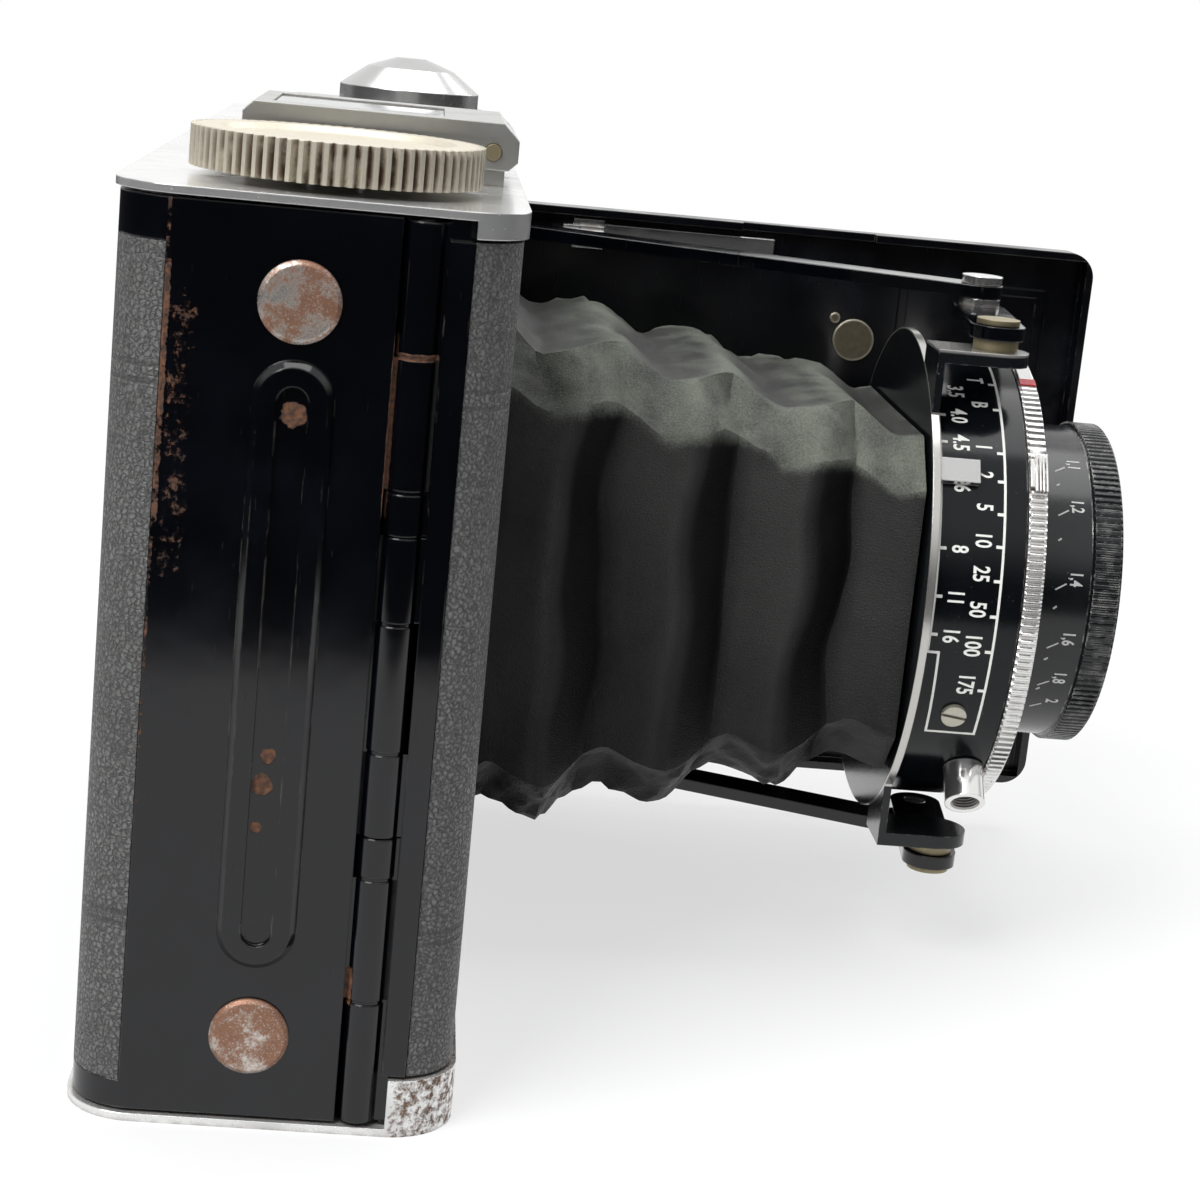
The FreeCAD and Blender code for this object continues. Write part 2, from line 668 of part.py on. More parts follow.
def make_plates():
    top = cover_plate("top_plate", ceiling, ceiling - D.top_skirt_depth,
                      D.top_skirt_depth, D.top_skirt_back)
    shaft = circle(-spool_x, -D.spool_y, D.shaft_radius + D.running_gap)
    pocket(top, sketch_on(top, "XY_Plane", ceiling - 1, shaft), D.plate_thickness + 2)
    keep(top, "top_plate")
    base = cover_plate("bottom_plate", 0, floor, D.base_skirt_depth, D.base_skirt_back)
    hole = circle(0, 0, D.tripod_bush + D.fit_gap)
    pocket(base, sketch_on(base, "XY_Plane", -1, hole), D.plate_thickness + 2)
    keep(base, "bottom_plate")
    bush_top = throat_low - D.throat_wall - D.fit_gap
    bush = turned("tripod_bush", [
        (D.tripod_radius, 0), (D.tripod_bush, 0), (D.tripod_bush, bush_top),
        (D.tripod_radius, bush_top)], 0, 0, 0)
    keep(bush, "tripod_bush")


def make_front_leathers():
    low = floor + D.base_skirt_depth + D.door_gap
    high = ceiling - D.top_skirt_depth - D.door_gap
    inside = D.leather
    wide, deep = half_length + 1, half_depth + 1
    near_edge = -(D.shell_edge_y + D.band_width + D.fit_gap)
    near_rim = -opening_near - D.bed_gap
    far_rim = opening_far + D.bed_gap * 3
    near_away = polygon((-wide, near_edge), (near_rim, near_edge), (near_rim, -deep),
                        (wide, -deep), (wide, deep), (-wide, deep))
    far_away = polygon((wide, -D.far_edge_y), (wide, deep), (-wide, deep), (-wide, -deep),
                       (far_rim, -deep), (far_rim, -D.far_edge_y))
    for name, away in (("leather_front_near", near_away), ("leather_front_far", far_away)):
        body = new_body(name)
        hoop(body, low, high - low, 0, inside, away)
        keep(body, name)


# ---------------------------------------------------------------- back door

def make_back_door():
    body = new_body("back_door")
    low, high = floor + D.door_gap, ceiling - D.door_gap
    wide, deep = half_length + 1, half_depth + 1
    depth = D.leather + D.shell_wall
    behind = rectangle(-wide, wide, D.panel_leather_edge - D.fit_gap, deep)
    hoop(body, low, high - low, 0, depth, behind)
    near_edge = -D.door_edge_y
    far_edge = -(D.far_edge_y - D.knuckle_gap)
    away = polygon((-wide, near_edge), (-wide, -deep), (wide, -deep), (wide, far_edge),
                   (0, far_edge), (0, near_edge))
    hoop(body, low, high - low, D.leather, depth, away)
    # bare rims above and below the leather, flush with it
    for level, height in ((low, D.door_rim_low), (high - D.door_rim_high, D.door_rim_high)):
        hoop(body, level, height, 0, depth, away)
    add_rib(body)
    window = circle(0, axis_z, D.window_radius)
    pocket(body, sketch_on(body, "XZ_Plane", -half_depth, window), D.leather + D.shell_wall + 1)
    add_knuckles(body, 1, hinge_y, -D.door_edge_y + D.fit_gap, D.pin_radius + D.running_gap)
    keep(body, "back_door")


def add_rib(body):
    """The long round-ended rib pressed out of the end panel, with its hollow middle."""
    radius = D.rib_width / 2
    low, high = D.rib_low + radius, D.rib_high - radius
    outline = slot(D.rib_centre_y, low, D.rib_centre_y, high, radius)
    pad(body, sketch_on(body, "YZ_Plane", -(half_length + D.rib_height), outline), D.rib_height)
    dress(body, "Chamfer", D.rib_height * 0.7, rim_at("X", -(half_length + D.rib_height)))
    channel = slot(D.rib_centre_y, low, D.rib_centre_y, high, D.rib_channel / 2)
    start = -(half_length + D.rib_height + 1)
    pocket(body, sketch_on(body, "YZ_Plane", start, channel), D.rib_channel_depth + 1)


def make_door_trim():
    wide, deep = half_length + 1, half_depth + 1
    body = new_body("leather_back")
    low = floor + D.door_gap + D.door_rim_low + D.fit_gap
    high = ceiling - D.door_gap - D.door_rim_high - D.fit_gap
    ahead = rectangle(-wide, wide, -deep, D.panel_leather_edge)
    hoop(body, low, high - low, 0, D.leather, ahead)
    window = circle(0, axis_z, D.window_radius)
    pocket(body, sketch_on(body, "XZ_Plane", -half_depth - 1, window), D.leather + 2)
    keep(body, "leather_back")

    discs = []
    for name, level in (("DiscLow", D.disc_low), ("DiscHigh", D.disc_high)):
        discs.append(turned(name, [
            (0, 0), (D.disc_radius, 0), (D.disc_radius, D.disc_height * 0.5),
            (D.disc_radius * 0.9, D.disc_height), (0, D.disc_height)],
            -half_length, D.rib_centre_y, level, SIDEWAYS))
    keep(group("door_rivets", *discs), "door_rivets")


def make_pressure_plate():
    half_width, half_height = D.pressure_width / 2, D.pressure_height / 2
    back = film_y + D.film_gap
    plate = block("PressureSheet", -half_width, half_width, back, back + D.pressure_thickness,
                  axis_z - half_height, axis_z + half_height)
    hole = rod("PressureHole", 0, back - 1, axis_z, D.window_radius + 1, D.pressure_thickness + 2,
               Vector(0, 1, 0))
    keep(cut("pressure_plate", plate, hole), "pressure_plate")
    springs = []
    foot = back + D.pressure_thickness
    for name, level in (("SpringLow", axis_z - D.spring_spread), ("SpringHigh", axis_z + D.spring_spread)):
        body = new_body(name)
        reach = half_width * 0.8
        rise = inner_y - foot
        strip = D.spring_strip
        bow = polygon((-reach, foot), (-reach / 3, foot + rise - strip),
                      (reach / 3, foot + rise - strip), (reach, foot),
                      (reach, foot + strip), (reach / 3, foot + rise),
                      (-reach / 3, foot + rise), (-reach, foot + strip))
        pad(body, sketch_on(body, "XY_Plane", level - D.spring_width / 2, bow), D.spring_width)
        springs.append(body)
    keep(group("pressure_springs", *springs), "pressure_springs")


def make_window():
    glass = rod("WindowGlass", 0, inner_y, axis_z, D.window_radius, D.window_glass,
                Vector(0, 1, 0))
    keep(glass, "red_window")
    half = D.cover_size / 2
    outside = half_depth + D.window_plate
    rails = []
    for name, low in (("RailLow", axis_z - half - D.cover_rail - D.running_gap),
                      ("RailHigh", axis_z + half + D.running_gap)):
        rails.append(block(name, -half, half + D.cover_travel, half_depth,
                           outside + D.cover_thickness + D.running_gap, low, low + D.cover_rail))
    bridge = block("RailBase", -half, half + D.cover_travel, half_depth, outside,
                   axis_z - half - D.cover_rail - D.running_gap,
                   axis_z + half + D.cover_rail + D.running_gap)
    hole = rod("WindowBore", 0, half_depth - 1, axis_z, D.window_radius, D.window_plate + 2,
               Vector(0, 1, 0))
    keep(cut("window_frame", fuse("WindowBody", bridge, *rails), hole), "window_frame")
    body = new_body("window_cover")
    plate = rectangle(-half, half, axis_z - half, axis_z + half)
    start = -(outside + D.running_gap + D.cover_thickness)
    pad(body, sketch_on(body, "XZ_Plane", start, plate), D.cover_thickness)
    grip = circle(-half * 0.4, axis_z, D.cover_rail)
    pad(body, sketch_on(body, "XZ_Plane", start - D.cover_thickness, grip),
        D.cover_thickness + D.fit_gap)
    keep(body, "window_cover")


def make_latch():
    """The spring-loaded catch on the far end, which slides down to free the door."""
    half_w, half_h = D.latch_width / 2, D.latch_length / 2
    body = new_body("door_latch")
    start = half_length + D.running_gap
    plate = slot(0, axis_z - half_h + half_w, 0, axis_z + half_h - half_w, half_w)
    pad(body, sketch_on(body, "YZ_Plane", start, plate), D.latch_height)
    dress(body, "Chamfer", D.latch_height * 0.3, rim_at("X", start + D.latch_height))
    thumb = slot(0, axis_z - half_w, 0, axis_z + half_w, half_w / 2)
    pocket(body, sketch_on(body, "YZ_Plane", start + D.latch_height * 0.6, thumb), D.latch_height)
    keep(body, "door_latch")


# ---------------------------------------------------------------- bed

def along_bed(distance):
    """Y of a place so far along the open bed from its hinge."""
    return bed_axis_y - distance


def make_bed():
    body = new_body("bed_plate")
    inside, outside = bed_axis_x, bed_axis_x + D.bed_plate
    heel, toe = along_bed(D.bed_heel), along_bed(bed_length)
    face = rectangle(toe, heel, bed_low, bed_high)
    pad(body, sketch_on(body, "YZ_Plane", inside, face), D.bed_plate)
    tray = rectangle(toe + D.bed_flange_wall, heel + 1, bed_low + D.bed_flange_wall,
                     bed_high - D.bed_flange_wall)
    edge = sketch_on(body, "YZ_Plane", inside - D.bed_flange, face)
    pad(body, edge, D.bed_flange)
    pocket(body, sketch_on(body, "YZ_Plane", inside - D.bed_flange - 1, tray), D.bed_flange + 1)
    notch = rectangle(along_bed(D.notch_end), along_bed(D.notch_start),
                      bed_high - D.bed_flange_wall - 1, bed_high + 1)
    pocket(body, sketch_on(body, "YZ_Plane", inside - D.bed_flange - 1, notch), D.notch_depth + 1)

    def corner(edge):
        box = edge.BoundBox
        across = box.XLength > D.bed_plate.number and box.YLength < 1e-6 and box.ZLength < 1e-6
        end = near_number(box.YMin, toe)
        return across and end and (near_number(box.ZMin, bed_low) or near_number(box.ZMin, bed_high))
    dress(body, "Fillet", D.bed_corner, corner)
    inset = D.bed_frame_inset
    bead_out = rectangle(toe + inset, along_bed(D.bed_frame_start), bed_low + inset, bed_high - inset)
    bead_in = rectangle(toe + inset + D.bed_frame_width, along_bed(D.bed_frame_start) - D.bed_frame_width,
                        bed_low + inset + D.bed_frame_width, bed_high - inset - D.bed_frame_width)
    pad(body, sketch_on(body, "YZ_Plane", inside - D.bed_frame_height, bead_out, bead_in),
        D.bed_frame_height)
    low, high = bed_knuckle_ends()
    barrel = circle(bed_axis_x, bed_axis_y, D.bed_knuckle)
    pad(body, sketch_on(body, "XY_Plane", low, barrel), high - low)
    leaf = rectangle(inside, outside, heel - D.fit_gap, bed_axis_y)
    pad(body, sketch_on(body, "XY_Plane", low, leaf), high - low)
    bore = circle(bed_axis_x, bed_axis_y, D.bed_pin + D.running_gap)
    pocket(body, sketch_on(body, "XY_Plane", low - 1, bore), high - low + 2)
    keep(body, "bed_plate")


def make_bed_trim():
    inset = D.bed_corner
    outside = bed_axis_x + D.bed_plate
    leather = block("BedLeather", outside, outside + D.leather,
                    along_bed(bed_length - inset / 2), along_bed(D.bed_heel + inset),
                    bed_low + inset / 2, bed_high - inset / 2)
    keep(leather, "bed_leather")
    rivets = []
    big_level = bed_high - D.rivet_inset
    for name, along, level, radius in (
            ("BedRivetBig", D.rivet_along, big_level, D.rivet_radius),
            ("BedRivetSmall", D.rivet_along - D.rivet_radius, big_level + D.rivet_radius,
             D.rivet_radius / 4)):
        rivets.append(rod(name, bed_axis_x, along_bed(along), level, radius, D.rivet_height,
                          Vector(-1, 0, 0)))
    keep(group("bed_rivets", *rivets), "bed_rivets")


def make_brace():
    """The sprung side bar along the top flange, with the stepped lug at its hinge end."""
    body = new_body("bed_brace")
    surface = bed_axis_x
    level = bed_high - D.brace_inset
    middle = level + D.brace_height / 2 - D.lug_drop
    bar = rectangle(along_bed(D.brace_end), along_bed(D.brace_start) + 1,
                    level, level + D.brace_height)
    pad(body, sketch_on(body, "YZ_Plane", surface - D.brace_stand - D.brace_thickness, bar),
        D.brace_thickness)
    for share, height in ((1.0, D.lug_leaf), (0.8, D.lug_step), (0.6, D.lug_root)):
        reach = (D.brace_start - D.lug_start) * share
        lug = rectangle(surface - D.lug_height * share, surface,
                        along_bed(D.brace_start) - D.fit_gap, along_bed(D.brace_start) + reach)
        pad(body, sketch_on(body, "XY_Plane", middle - height / 2, lug), height)
    foot = rectangle(along_bed(D.brace_end), along_bed(D.brace_end) + D.brace_height,
                     level, level + D.brace_height)
    pad(body, sketch_on(body, "YZ_Plane", surface - D.brace_stand, foot), D.brace_stand)
    keep(body, "bed_brace")


# ---------------------------------------------------------------- struts and links

def arm(name, x, y, z, angle, length, half_width, thickness, hole, end_hole):
    """A flat arm from one pivot to the next, round its own first pivot."""
    body = new_body(name)
    pad(body, sketch_on(body, "XY_Plane", 0, slot(0, 0, length, 0, half_width)), thickness)
    holes = [circle(0, 0, hole + D.running_gap), circle(length, 0, end_hole + D.running_gap)]
    pocket(body, sketch_on(body, "XY_Plane", -1, *holes), thickness + 2)
    place(body, x, y, z, Rotation(Vector(0, 0, 1), angle.number))
    body.setExpression("Placement.Rotation.Angle", "%s * 1 deg" % angle.formula)
    return body


def knee_spot():
    """Where the struts meet the links."""
    return (strut_x + D.strut_length * cosine(D.strut_angle),
            -D.strut_y + D.strut_length * sine(D.strut_angle))


def ear_spot():
    """Where the links meet the ears of the lens board."""
    x, y = knee_spot()
    return (x + D.link_length * cosine(D.link_angle), y + D.link_length * sine(D.link_angle))


def make_struts():
    upper = arm("StrutUpper", strut_x, -D.strut_y, strut_level, D.strut_angle, D.strut_length,
                D.strut_half_width, D.strut_thickness, D.strut_pin, D.knee_pin)
    keep(group("struts", upper, mirrored("StrutLower", upper)), "struts")
    foot = strut_level - D.link_gap * 2
    pin = rod("StrutPin", strut_x, -D.strut_y, foot, D.strut_pin, throat_high - foot)
    keep(group("strut_pins", pin, mirrored("StrutPinLower", pin)), "strut_pins")
    x, y = knee_spot()
    link_top = link_level + D.link_thickness
    top = strut_level + D.strut_thickness + D.fit_gap
    rivet = turned("KneeRivet", [
        (0, link_level), (D.knee_pin, link_level), (D.knee_pin, link_top),
        (D.rivet_head, link_top), (D.rivet_head, strut_level - D.fit_gap),
        (D.knee_pin, strut_level - D.fit_gap), (D.knee_pin, top), (D.rivet_head, top),
        (D.rivet_head, top + D.rivet_head_height), (0, top + D.rivet_head_height)],
        x, y, 0)
    keep(group("knee_rivets", rivet, mirrored("KneeRivetLower", rivet)), "knee_rivets")
    upper_link = arm("LinkUpper", x, y, link_level, D.link_angle, D.link_length,
                     D.link_half_width, D.link_thickness, D.knee_pin, D.ear_pin)
    keep(group("links", upper_link, mirrored("LinkLower", upper_link)), "links")


# ---------------------------------------------------------------- lens board and shutter

def on_lens_axis(body):
    """Stands a piece's own Z along the lens axis, measured from the front of the body."""
    return place(body, 0, -half_depth, axis_z, FORWARDS)


def round_piece(name, outline):
    """A turned piece on the lens axis: radius, and distance in front of the body."""
    return on_lens_axis(turned(name, outline, 0, 0, 0))


def across_ray(turn, inner, outer, half):
    """A rectangle astride the ray at the angle, between two distances from the axis."""
    along, aside = cosine(turn), sine(turn)
    return polygon(*[(along * r - aside * w, aside * r + along * w)
                     for r, w in ((inner, -half), (outer, -half), (outer, half), (inner, half))])


def make_lens_board():
    body = new_body("lens_board")
    back, face = D.board_back, D.board_back + D.board_thickness
    disc = sketch_on(body, "XZ_Plane", half_depth + back, circle(0, axis_z, board_radius))
    pad(body, disc, D.board_thickness)
    x, y = ear_spot()
    half = D.ear_width / 2
    top = link_level - D.ear_drop
    for sign in (1, -1):
        outer = axis_z + sign * (top - axis_z)
        inner = axis_z + sign * (top - D.ear_thickness - axis_z)
        root = axis_z + sign * (board_radius - D.ear_root)
        low, high = (root, outer) if sign > 0 else (outer, root)
        pad(body, sketch_on(body, "XZ_Plane", half_depth + back,
                            rectangle(x - half, x + half, low, high)), D.board_thickness)
        start = inner if sign > 0 else outer
        shelf = rectangle(x - half, x + half, y, front(back))
        pad(body, sketch_on(body, "XY_Plane", start, shelf), D.ear_thickness)
        pad(body, sketch_on(body, "XY_Plane", start, circle(x, y, half)), D.ear_thickness)
    hole = circle(0, axis_z, D.rear_cell_radius + D.fit_gap)
    pocket(body, sketch_on(body, "XZ_Plane", half_depth + back - 1, hole), D.board_thickness + 2)
    keep(body, "lens_board")
    head = link_level + D.link_thickness + D.fit_gap
    pin = turned("EarPin", [
        (0, top), (D.ear_spacer, top), (D.ear_spacer, link_level - D.fit_gap),
        (D.ear_pin, link_level - D.fit_gap), (D.ear_pin, head),
        (D.rivet_head, head), (D.rivet_head, head + D.pivot_head), (0, head + D.pivot_head)], x, y, 0)
    keep(group("ear_pins", pin, mirrored("EarPinLower", pin)), "ear_pins")
    return face


def make_shutter():
    face = D.board_back + D.board_thickness
    case, collar = case_radius, ring_bore - D.ring_gap
    hub, hub_front = D.glass_radius - D.hub_gap, D.barrel_back + D.hub_reach
    keep(round_piece("shutter_case", [
        (0, face), (case, face), (case, D.case_front), (collar, D.case_front),
        (collar, D.face_front), (hub, D.face_front), (hub, hub_front), (0, hub_front)]),
        "shutter_case")
    start = D.case_front + D.ring_gap
    end = start + D.ring_width
    ring = ring_radius
    speed = round_piece("speed_ring", [
        (ring_bore, start), (ring, start), (ring, end), (ring_bore, end)])
    grip = across_ray(D.grip_angle, ring - D.grip_height, ring + D.grip_height, D.grip_width / 2)
    pad(speed, sketch_on(speed, "XY_Plane", start, grip), D.ring_width)
    keep(speed, "speed_ring")
    make_pointer(face)
    make_socket()
    make_case_screws()


def make_pointer(face):
    """The chromed tab that slides round the aperture scale."""
    body = new_body("aperture_pointer")
    inner = case_radius + D.ring_gap
    tab = across_ray(D.pointer_angle, inner, inner + D.pointer_height, D.pointer_width / 2)
    pad(body, sketch_on(body, "XY_Plane", face + D.ring_gap, tab), D.pointer_length)
    on_lens_axis(body)
    keep(body, "aperture_pointer")


def round_the_case(name, turn, radius, distance, outline):
    """A turned piece that stands out from the side of the case at an angle."""
    direction = Vector(math.cos(math.radians(turn.number)), 0, math.sin(math.radians(turn.number)))
    return turned(name, outline, cosine(turn) * radius, front(distance),
                  axis_z + sine(turn) * radius, Rotation(Vector(0, 0, 1), direction))


def make_socket():
    """The threaded socket for a cable release, low on the near side of the case."""
    low, high = D.fit_gap * 2, D.socket_length - D.socket_root
    keep(round_the_case("cable_socket", D.socket_angle, case_radius, D.socket_centre, [
        (D.socket_bore, low), (D.socket_radius, low), (D.socket_radius, high),
        (D.socket_bore, high)]), "cable_socket")


def make_case_screws():
    """Screws that hold the scale band to the case."""
    radius, height = D.scale_screw_radius, D.scale_screw_height
    screws = []
    for name, turn in (("ScrewLow", D.screw_low_angle), ("ScrewHigh", D.screw_high_angle)):
        screws.append(round_the_case(name, turn, case_radius + D.fit_gap, D.scale_screw_level,
                                     [(0, 0), (radius, 0), (radius, height), (0, height)]))
    keep(group("case_screws", *screws), "case_screws")


def make_lenses():
    glass = D.glass_radius
    rear, face = D.board_back - D.rear_cell_length, D.board_back + D.board_thickness
    cell = D.rear_cell_radius
    bore = cell - D.rear_glass_inset
    keep(round_piece("rear_cell", [
        (bore, rear), (cell, rear), (cell, face - D.fit_gap), (bore, face - D.fit_gap)]), "rear_cell")
    keep(round_piece("rear_lens", [
        (0, rear + D.glass_rise), (bore - D.fit_gap, rear + D.glass_rise),
        (bore - D.fit_gap, D.board_back), (0, D.board_back)]), "rear_lens")
    barrel, knurl = D.barrel_radius, D.knurl_radius
    back, end, lip = D.barrel_back, D.barrel_front, D.knurl_front
    seat = lip - D.glass_depth
    keep(round_piece("focus_ring", [
        (glass, back), (barrel, back), (barrel, end), (knurl, end), (knurl, lip),
        (glass + D.lens_recess, lip), (glass, seat)]), "focus_ring")
    edge = glass - D.fit_gap
    keep(round_piece("front_lens", [
        (0, seat - D.glass_edge), (edge, seat - D.glass_edge), (edge, seat),
        (edge * 0.7, seat + D.glass_rise), (0, seat + D.glass_rise)]), "front_lens")


def make_levers():
    """Cocking lever and release lever, which lie on the face of the case."""
    half = D.lever_width / 2
    for name, turn, share in (("cocking_lever", D.cocking_angle, 1.0),
                              ("release_lever", D.release_angle, 0.97)):
        along, aside = cosine(turn), sine(turn)
        root, reach = D.lever_root, D.lever_reach * share
        body = new_body(name)
        shank = slot(along * root, aside * root, along * reach, aside * reach, half)
        pad(body, sketch_on(body, "XY_Plane", D.face_front + D.ring_gap, shank), D.lever_thickness)
        on_lens_axis(body)
        keep(body, name)


# ---------------------------------------------------------------- bellows

def octagon(half_width, half_height, corner, distance):
    """Corners of a rectangle round the lens axis with its four corners cut off."""
    middle = axis_z.number
    points = []
    for side, rise in ((1, 1), (1, -1), (-1, -1), (-1, 1)):
        pair = [(half_width - corner, half_height), (half_width, half_height - corner)]
        if side * rise < 0:
            pair.reverse()
        points += [Vector(side * x, -distance, middle + rise * z) for x, z in pair]
    return points


def bellows_rings(skin):
    """Valleys and ridges in turn, tapering from the film gate to the lens board."""
    start = (D.gate_plate - film_y + D.fit_gap).number
    end = (half_depth + D.board_back - D.bellows_gap).number
    back_x = (opening_far - D.bellows_side_room).number
    back_z = ((throat_high - throat_low) / 2 - D.bellows_top_room).number
    front_x, front_z = (D.bellows_front_width / 2).number, (D.bellows_front_height / 2).number
    rings = []
    for i in range(2 * PLEATS + 1):
        share = i / (2.0 * PLEATS)
        inset = skin + (0 if i % 2 else D.pleat_depth.number)
        corner = (D.ridge_corner if i % 2 else D.valley_corner).number
        rings.append(octagon(back_x + (front_x - back_x) * share - inset,
                             back_z + (front_z - back_z) * share - inset,
                             corner, start + (end - start) * share))
    return rings


def facets_between(one, other):
    """The flat faces that join two rings of corners."""
    faces = []
    for i in range(len(one)):
        after = (i + 1) % len(one)
        faces.append(Part.Face(Part.makePolygon(
            [one[i], one[after], other[after], other[i], one[i]])))
    return faces


def make_bellows():
    outer, inner = bellows_rings(0), bellows_rings(D.bellows_skin.number)
    faces = facets_between(outer[0], inner[0]) + facets_between(outer[-1], inner[-1])
    for rings in (outer, inner):
        for low, high in zip(rings, rings[1:]):
            faces += facets_between(low, high)
    skin = Part.makeShell(faces)
    skin.sewShape()
    solid = Part.makeSolid(skin)
    if solid.Volume < 0:
        solid.reverse()
    body = doc.addObject("Part::Feature", "bellows")
    body.Shape = solid
    keep(body, "bellows")


# ---------------------------------------------------------------- winding

def make_wheel():
    body = new_body("wind_wheel")
    radius, bottom, top = D.wheel_radius, wheel_bottom, wheel_top
    revolve(body, sketch_on(body, "XZ_Plane", 0, polygon(
        (0, bottom), (radius, bottom), (radius, top), (radius * 0.8, top),
        (radius * 0.76, top - D.wheel_recess), (0, top - D.wheel_recess))))
    half = radius * (math.pi / SIZES["tooth_count"]) * 0.8
    groove = polygon((radius - D.tooth_depth, 0), (radius + 0.2, half), (radius + 0.2, -half))
    sketch = sketch_on(body, "XY_Plane", bottom - 1, groove)
    cutter = pocket(body, sketch, top - bottom + 2)
    polar_pattern(body, sketch, cutter, D.tooth_count)
    place(body, -spool_x, -D.spool_y, 0)
    keep(body, "wind_wheel")


def make_winding():
    slot_width = D.spool_slot - D.running_gap * 2
    shaft_foot = web_high - D.spool_play
    shaft = rod("WindShaft", -spool_x, -D.spool_y, shaft_foot, D.shaft_radius,
                wheel_bottom - shaft_foot)
    blade = block("WindBlade", -spool_x - D.shaft_radius * 1.4, -spool_x + D.shaft_radius * 1.4,
                  -D.spool_y - slot_width / 2, -D.spool_y + slot_width / 2,
                  shaft_foot - D.spool_pin_length, shaft_foot + D.fit_gap)
    keep(fuse("wind_key", shaft, blade), "wind_key")
    low, high = web_low + D.spool_play, web_high - D.spool_play
    flange, core, bore = D.spool_flange_radius, D.spool_core_radius, D.spool_bore
    reel = turned("SpoolTurned", [
        (bore, low), (flange, low), (flange, low + D.spool_flange), (core, low + D.spool_flange),
        (core, high - D.spool_flange), (flange, high - D.spool_flange), (flange, high), (bore, high)],
        -spool_x, -D.spool_y, 0)
    keyway = block("SpoolKeyway", -spool_x - D.spool_core_radius * 0.9,
                   -spool_x + D.spool_core_radius * 0.9,
                   -D.spool_y - D.spool_slot / 2, -D.spool_y + D.spool_slot / 2,
                   high - D.spool_pin_length - 1, high + 1)
    keep(cut("take_up_spool", reel, keyway), "take_up_spool")


def make_top_housing():
    body = new_body("top_housing")
    left, right = -(finder_left - D.finder_width - D.housing_room), D.housing_right
    front_y, back_y = -D.housing_front, D.housing_back
    pad(body, sketch_on(body, "XY_Plane", D.body_height, rectangle(left, right, front_y, back_y)),
        housing_top - D.body_height)
    corners = [(x, y) for x in (left, right) for y in (front_y, back_y)]
    dress(body, "Fillet", D.housing_round * 2, upright_at(*corners))
    dress(body, "Chamfer", D.housing_round * 0.6, rim_at("Z", housing_top))
    shaft = circle(D.knob_x, -D.knob_y, D.knob_shaft + D.running_gap)
    pocket(body, sketch_on(body, "XY_Plane", D.body_height - 1, shaft),
           housing_top - D.body_height + 2)
    keep(body, "top_housing")
    radius, flat, stem = D.knob_radius, D.knob_flat, D.knob_shaft
    foot = D.body_height + D.fit_gap
    knob = turned("counter_knob", [
        (0, foot), (stem, foot), (stem, knob_bottom), (radius, knob_bottom), (radius, knob_bottom + D.knob_band),
        (radius * 0.62, knob_bottom + D.knob_shoulder), (flat, knob_bottom + D.knob_height),
        (0, knob_bottom + D.knob_height)],
        D.knob_x, -D.knob_y, 0)
    keep(knob, "counter_knob")


# ---------------------------------------------------------------- finder

